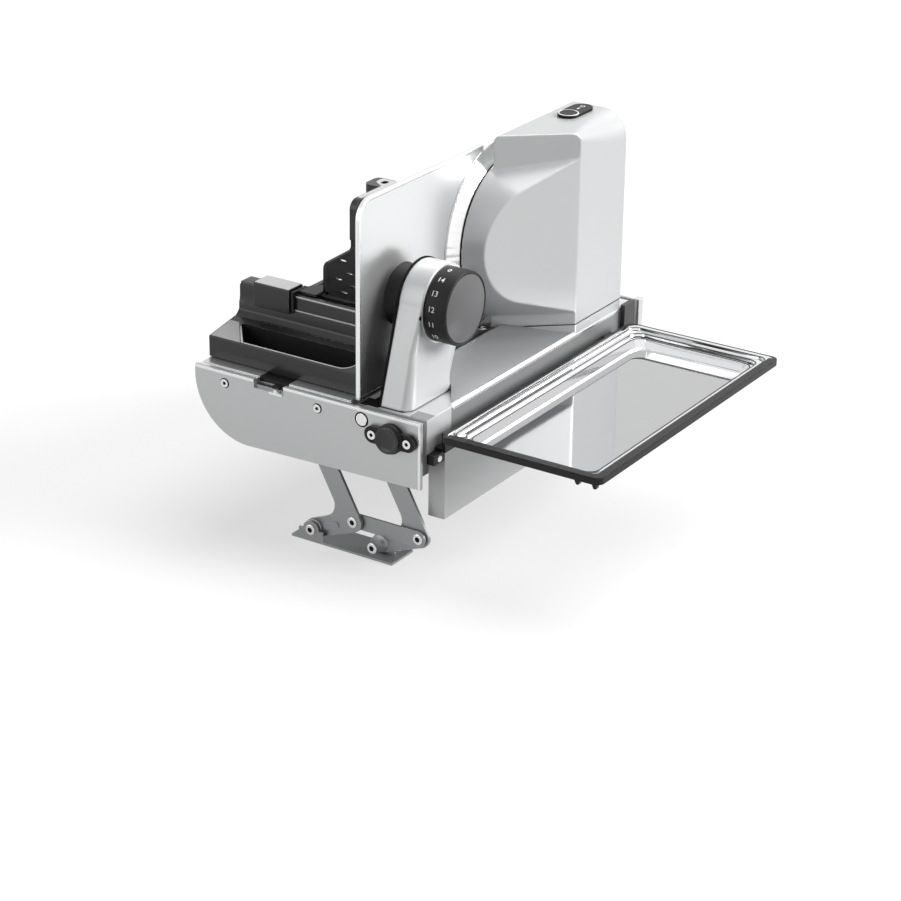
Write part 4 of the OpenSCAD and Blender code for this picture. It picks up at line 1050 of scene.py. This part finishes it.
# Lift: cranked arms with a filleted corner, and a boss at each toe
def crank_arm(bm, top, heel, toe, low, high):
    def bar(a, b, r0, r1, y0, y1):
        way = math.degrees(math.atan2(b[1] - a[1], b[0] - a[0]))
        slab(bm, "y", arc(*a, r0, way + 90, way + 270, 20) + arc(*b, r1, way - 90, way + 90, 20), y0, y1)

    def unit(a, b):
        return (Vector(b) - Vector(a)).normalized()

    bar(top, heel, 9, 9, low, high)
    bar(heel, toe, 9, 8.4, low + 0.03, high - 0.03)
    up, along = unit(heel, top), unit(heel, toe)
    corner = Vector(heel) + up * 10.2 + Vector((-0.879, -0.478)) * 9
    curve = soft_corners([tuple(corner + up * 30), tuple(corner), tuple(corner + along * 30)], [0, 17, 0], 12)
    fill = [tuple(corner - (up + along) * 2)] + curve[1:-1]
    slab(bm, "y", fill, low + 0.06, high - 0.06)
    turned(bm, "y", toe, [(low - 1.1, 0.5), (low - 1.1, 7.2), (low - 0.6, 7.9), (low + 0.5, 8.2)], 40)
    mid = Vector(heel) * 0.45 + Vector(toe) * 0.55
    bar(tuple(mid - along * 5), tuple(mid + along * 5), 3.2, 3.2, low - 0.8, low + 0.5)


CRANKS = (("left_crank", 0, 6, "left_arms", ["left_arm_front", "left_arm_rear"]),
          ("right_crank", 64, 13, "right_arms", ["right_arm_front", "right_arm_rear"]))
for name, shift, low, body, nodes in CRANKS:
    crank = bmesh.new()
    crank_arm(crank, (-107 + shift, -48), (-73 + shift, -110.5), (-113 + shift, -126), low, low + 3)
    both_ends(crank)
    piece(name, crank, body, zinc, bevel=0.5, limit=50, replaces=nodes)

# Hollow rivets at the pivots of the lift
def rivets(name, spots, body, proud=1.0):
    rings, holes = bmesh.new(), bmesh.new()
    for x, z, face in spots:
        turned(rings, "y", (x, z), [(face + 0.2, 4.7), (face - proud * 0.6, 4.7), (face - proud, 4.2),
                                    (face - proud, 2.4), (face - 0.1, 2.1), (face + 0.2, 2.1)], 40)
        turned(holes, "y", (x, z), [(face + 0.2, 2.2), (face - 0.35, 2.2), (face - 0.4, 0.3)], 32)
    both_ends(rings)
    both_ends(holes)
    piece(name + "_rings", rings, body, turned_steel, smooth=35)
    piece(name + "_centres", holes, body, dark_gap_and_shade, smooth=35)


rivets("bracket_rivet", [(-113, -126, 0.6), (-49, -126, 0.6)], "mount")
rivets("heel_rivet", [(-73, -110.5, 5.6)], "left_arms", 0.5)
rivets("right_heel_rivet", [(-9, -110.5, 9.9)], "right_arms")

# Switch: a dished button with a bright ring, and a small bar mark
switch = bmesh.new()
turned(switch, "z", (-36, 284.5), [(186.2, 9.3), (186.75, 9.3), (186.95, 9.0), (186.95, 8.2),
                                     (186.6, 8.0), (186.2, 8.0)], 48)
piece("switch_ring", switch, "machine", print_white, smooth=35)
dish = bmesh.new()
turned(dish, "z", (-36, 284.5), [(186.0, 7.2), (187.0, 7.2), (187.3, 6.9), (187.3, 6.0),
                                   (186.9, 4.6), (186.8, 0.4)], 48)
piece("switch_dish", dish, "button", gloss_black, smooth=35)
icons = bmesh.new()
slab(icons, "z", soft_corners([(-36.7, 299), (-35.3, 299), (-35.3, 304), (-36.7, 304)], 0.5, 3),
     186.35, 186.5)
slab(icons, "z", circle(-36, 309, 2.3, 32), 186.35, 186.5, [circle(-36, 309, 1.5, 32)])
piece("switch_marks", icons, "machine", print_white, smooth=35)

# Materials of the nodes that are shown as they are
node_finish = {
    "front_bracket": zinc, "rear_bracket": zinc, "bracket_pins": turned_steel,
    "lift_shaft": turned_steel, "heel_link_front": zinc, "heel_link_rear": zinc,
    "heel_pins": turned_steel, "right_heel_pins": turned_steel, "base_tub": sheet_metal,
    "front_frame": sheet_metal, "rear_frame": sheet_metal,
    "arm_pins": turned_steel, "fold_pins": turned_steel, "notch_guide": black_plastic,
    "latch_bolt": turned_steel, "front_end_block": block_paint,
    "rear_end_block": block_paint, "end_seal": seal_black, "end_cap": rim_and_highlight_metal, "apron": apron_paint,
    "tray_rail": black_plastic, "switch_bezel": gloss_black,
    "switch_button": gloss_black, "motor_stator": iron, "motor_bearings": turned_steel, "armature": winding,
    "pinion": turned_steel, "gear_wheel": gear_nylon, "blade": blade_steel, "blade_bolt": turned_steel,
    "plate_spindle": turned_steel, "carriage_bed": bed_metal, "channel_strip": black_plastic,
    "tray_hooks": black_plastic, "mains_inlet": black_plastic,
}
for name, material in node_finish.items():
    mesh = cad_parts[name].data
    mesh.materials.clear()
    mesh.materials.append(material)


# Floor and light
def seen_or_mirrored(tree):
    """Light Path switch that is on for what the camera sees and what metal mirrors"""
    path = add(tree, "ShaderNodeLightPath")
    either = add(tree, "ShaderNodeMath", operation="MAXIMUM")
    tree.links.new(path.outputs["Is Camera Ray"], either.inputs[0])
    tree.links.new(path.outputs["Is Glossy Ray"], either.inputs[1])
    return either.outputs[0]


paper = bpy.data.materials.new("paper floor")
paper.use_nodes = True
tree = paper.node_tree
shader = tree.nodes["Principled BSDF"]
shader.inputs["Base Color"].default_value = (0.3, 0.3, 0.3, 1)
shader.inputs["Roughness"].default_value = 0.9
shader.inputs["Specular IOR Level"].default_value = 0.1
sheen = add(tree, "ShaderNodeBsdfDiffuse", {"Color": (0.4, 0.4, 0.4, 1)})
bright = add(tree, "ShaderNodeEmission", {"Color": (1, 1, 1, 1), "Strength": 0.6})
both = add(tree, "ShaderNodeAddShader")
tree.links.new(sheen.outputs[0], both.inputs[0])
tree.links.new(bright.outputs[0], both.inputs[1])
choose = add(tree, "ShaderNodeMixShader")
tree.links.new(seen_or_mirrored(tree), choose.inputs["Fac"])
tree.links.new(shader.outputs[0], choose.inputs[1])
tree.links.new(both.outputs[0], choose.inputs[2])
tree.links.new(choose.outputs[0], tree.nodes["Material Output"].inputs["Surface"])
ground = bmesh.new()
bmesh.ops.create_grid(ground, x_segments=1, y_segments=1, size=6)
floor_mesh = bpy.data.meshes.new("floor")
ground.to_mesh(floor_mesh)
ground.free()
floor = bpy.data.objects.new("floor", floor_mesh)
bpy.context.scene.collection.objects.link(floor)
floor_mesh.materials.append(paper)
floor.location = (0, 0, -0.0005)

world = bpy.data.worlds.new("studio")
bpy.context.scene.world = world
world.use_nodes = True
tree = world.node_tree
sky = tree.nodes["Background"]
sky.inputs["Color"].default_value = (1, 1, 1, 1)
sky.inputs["Strength"].default_value = 0.12
white = add(tree, "ShaderNodeBackground", {"Color": (1, 1, 1, 1), "Strength": 1.0})
choose = add(tree, "ShaderNodeMixShader")
tree.links.new(seen_or_mirrored(tree), choose.inputs["Fac"])
tree.links.new(sky.outputs[0], choose.inputs[1])
tree.links.new(white.outputs[0], choose.inputs[2])
tree.links.new(choose.outputs[0], tree.nodes["World Output"].inputs["Surface"])


def soft_sun(name, source, strength, spread):
    """Even light from far away, from the way that source points"""
    lamp = bpy.data.lights.new(name, "SUN")
    lamp.energy = strength
    lamp.angle = math.radians(spread)
    obj = bpy.data.objects.new(name, lamp)
    bpy.context.scene.collection.objects.link(obj)
    obj.rotation_euler = (-Vector(source)).to_track_quat("-Z", "Y").to_euler()


soft_sun("right light", (0.80, 0.45, 0.40), 3.3, 30)
soft_sun("top light", (0.10, 0.48, 0.87), 2.1, 50)
soft_sun("front light", (-0.45, -0.82, 0.35), 0.8, 50)

bpy.context.scene.view_settings.view_transform = "Standard"

bpy.context.view_layer.update()
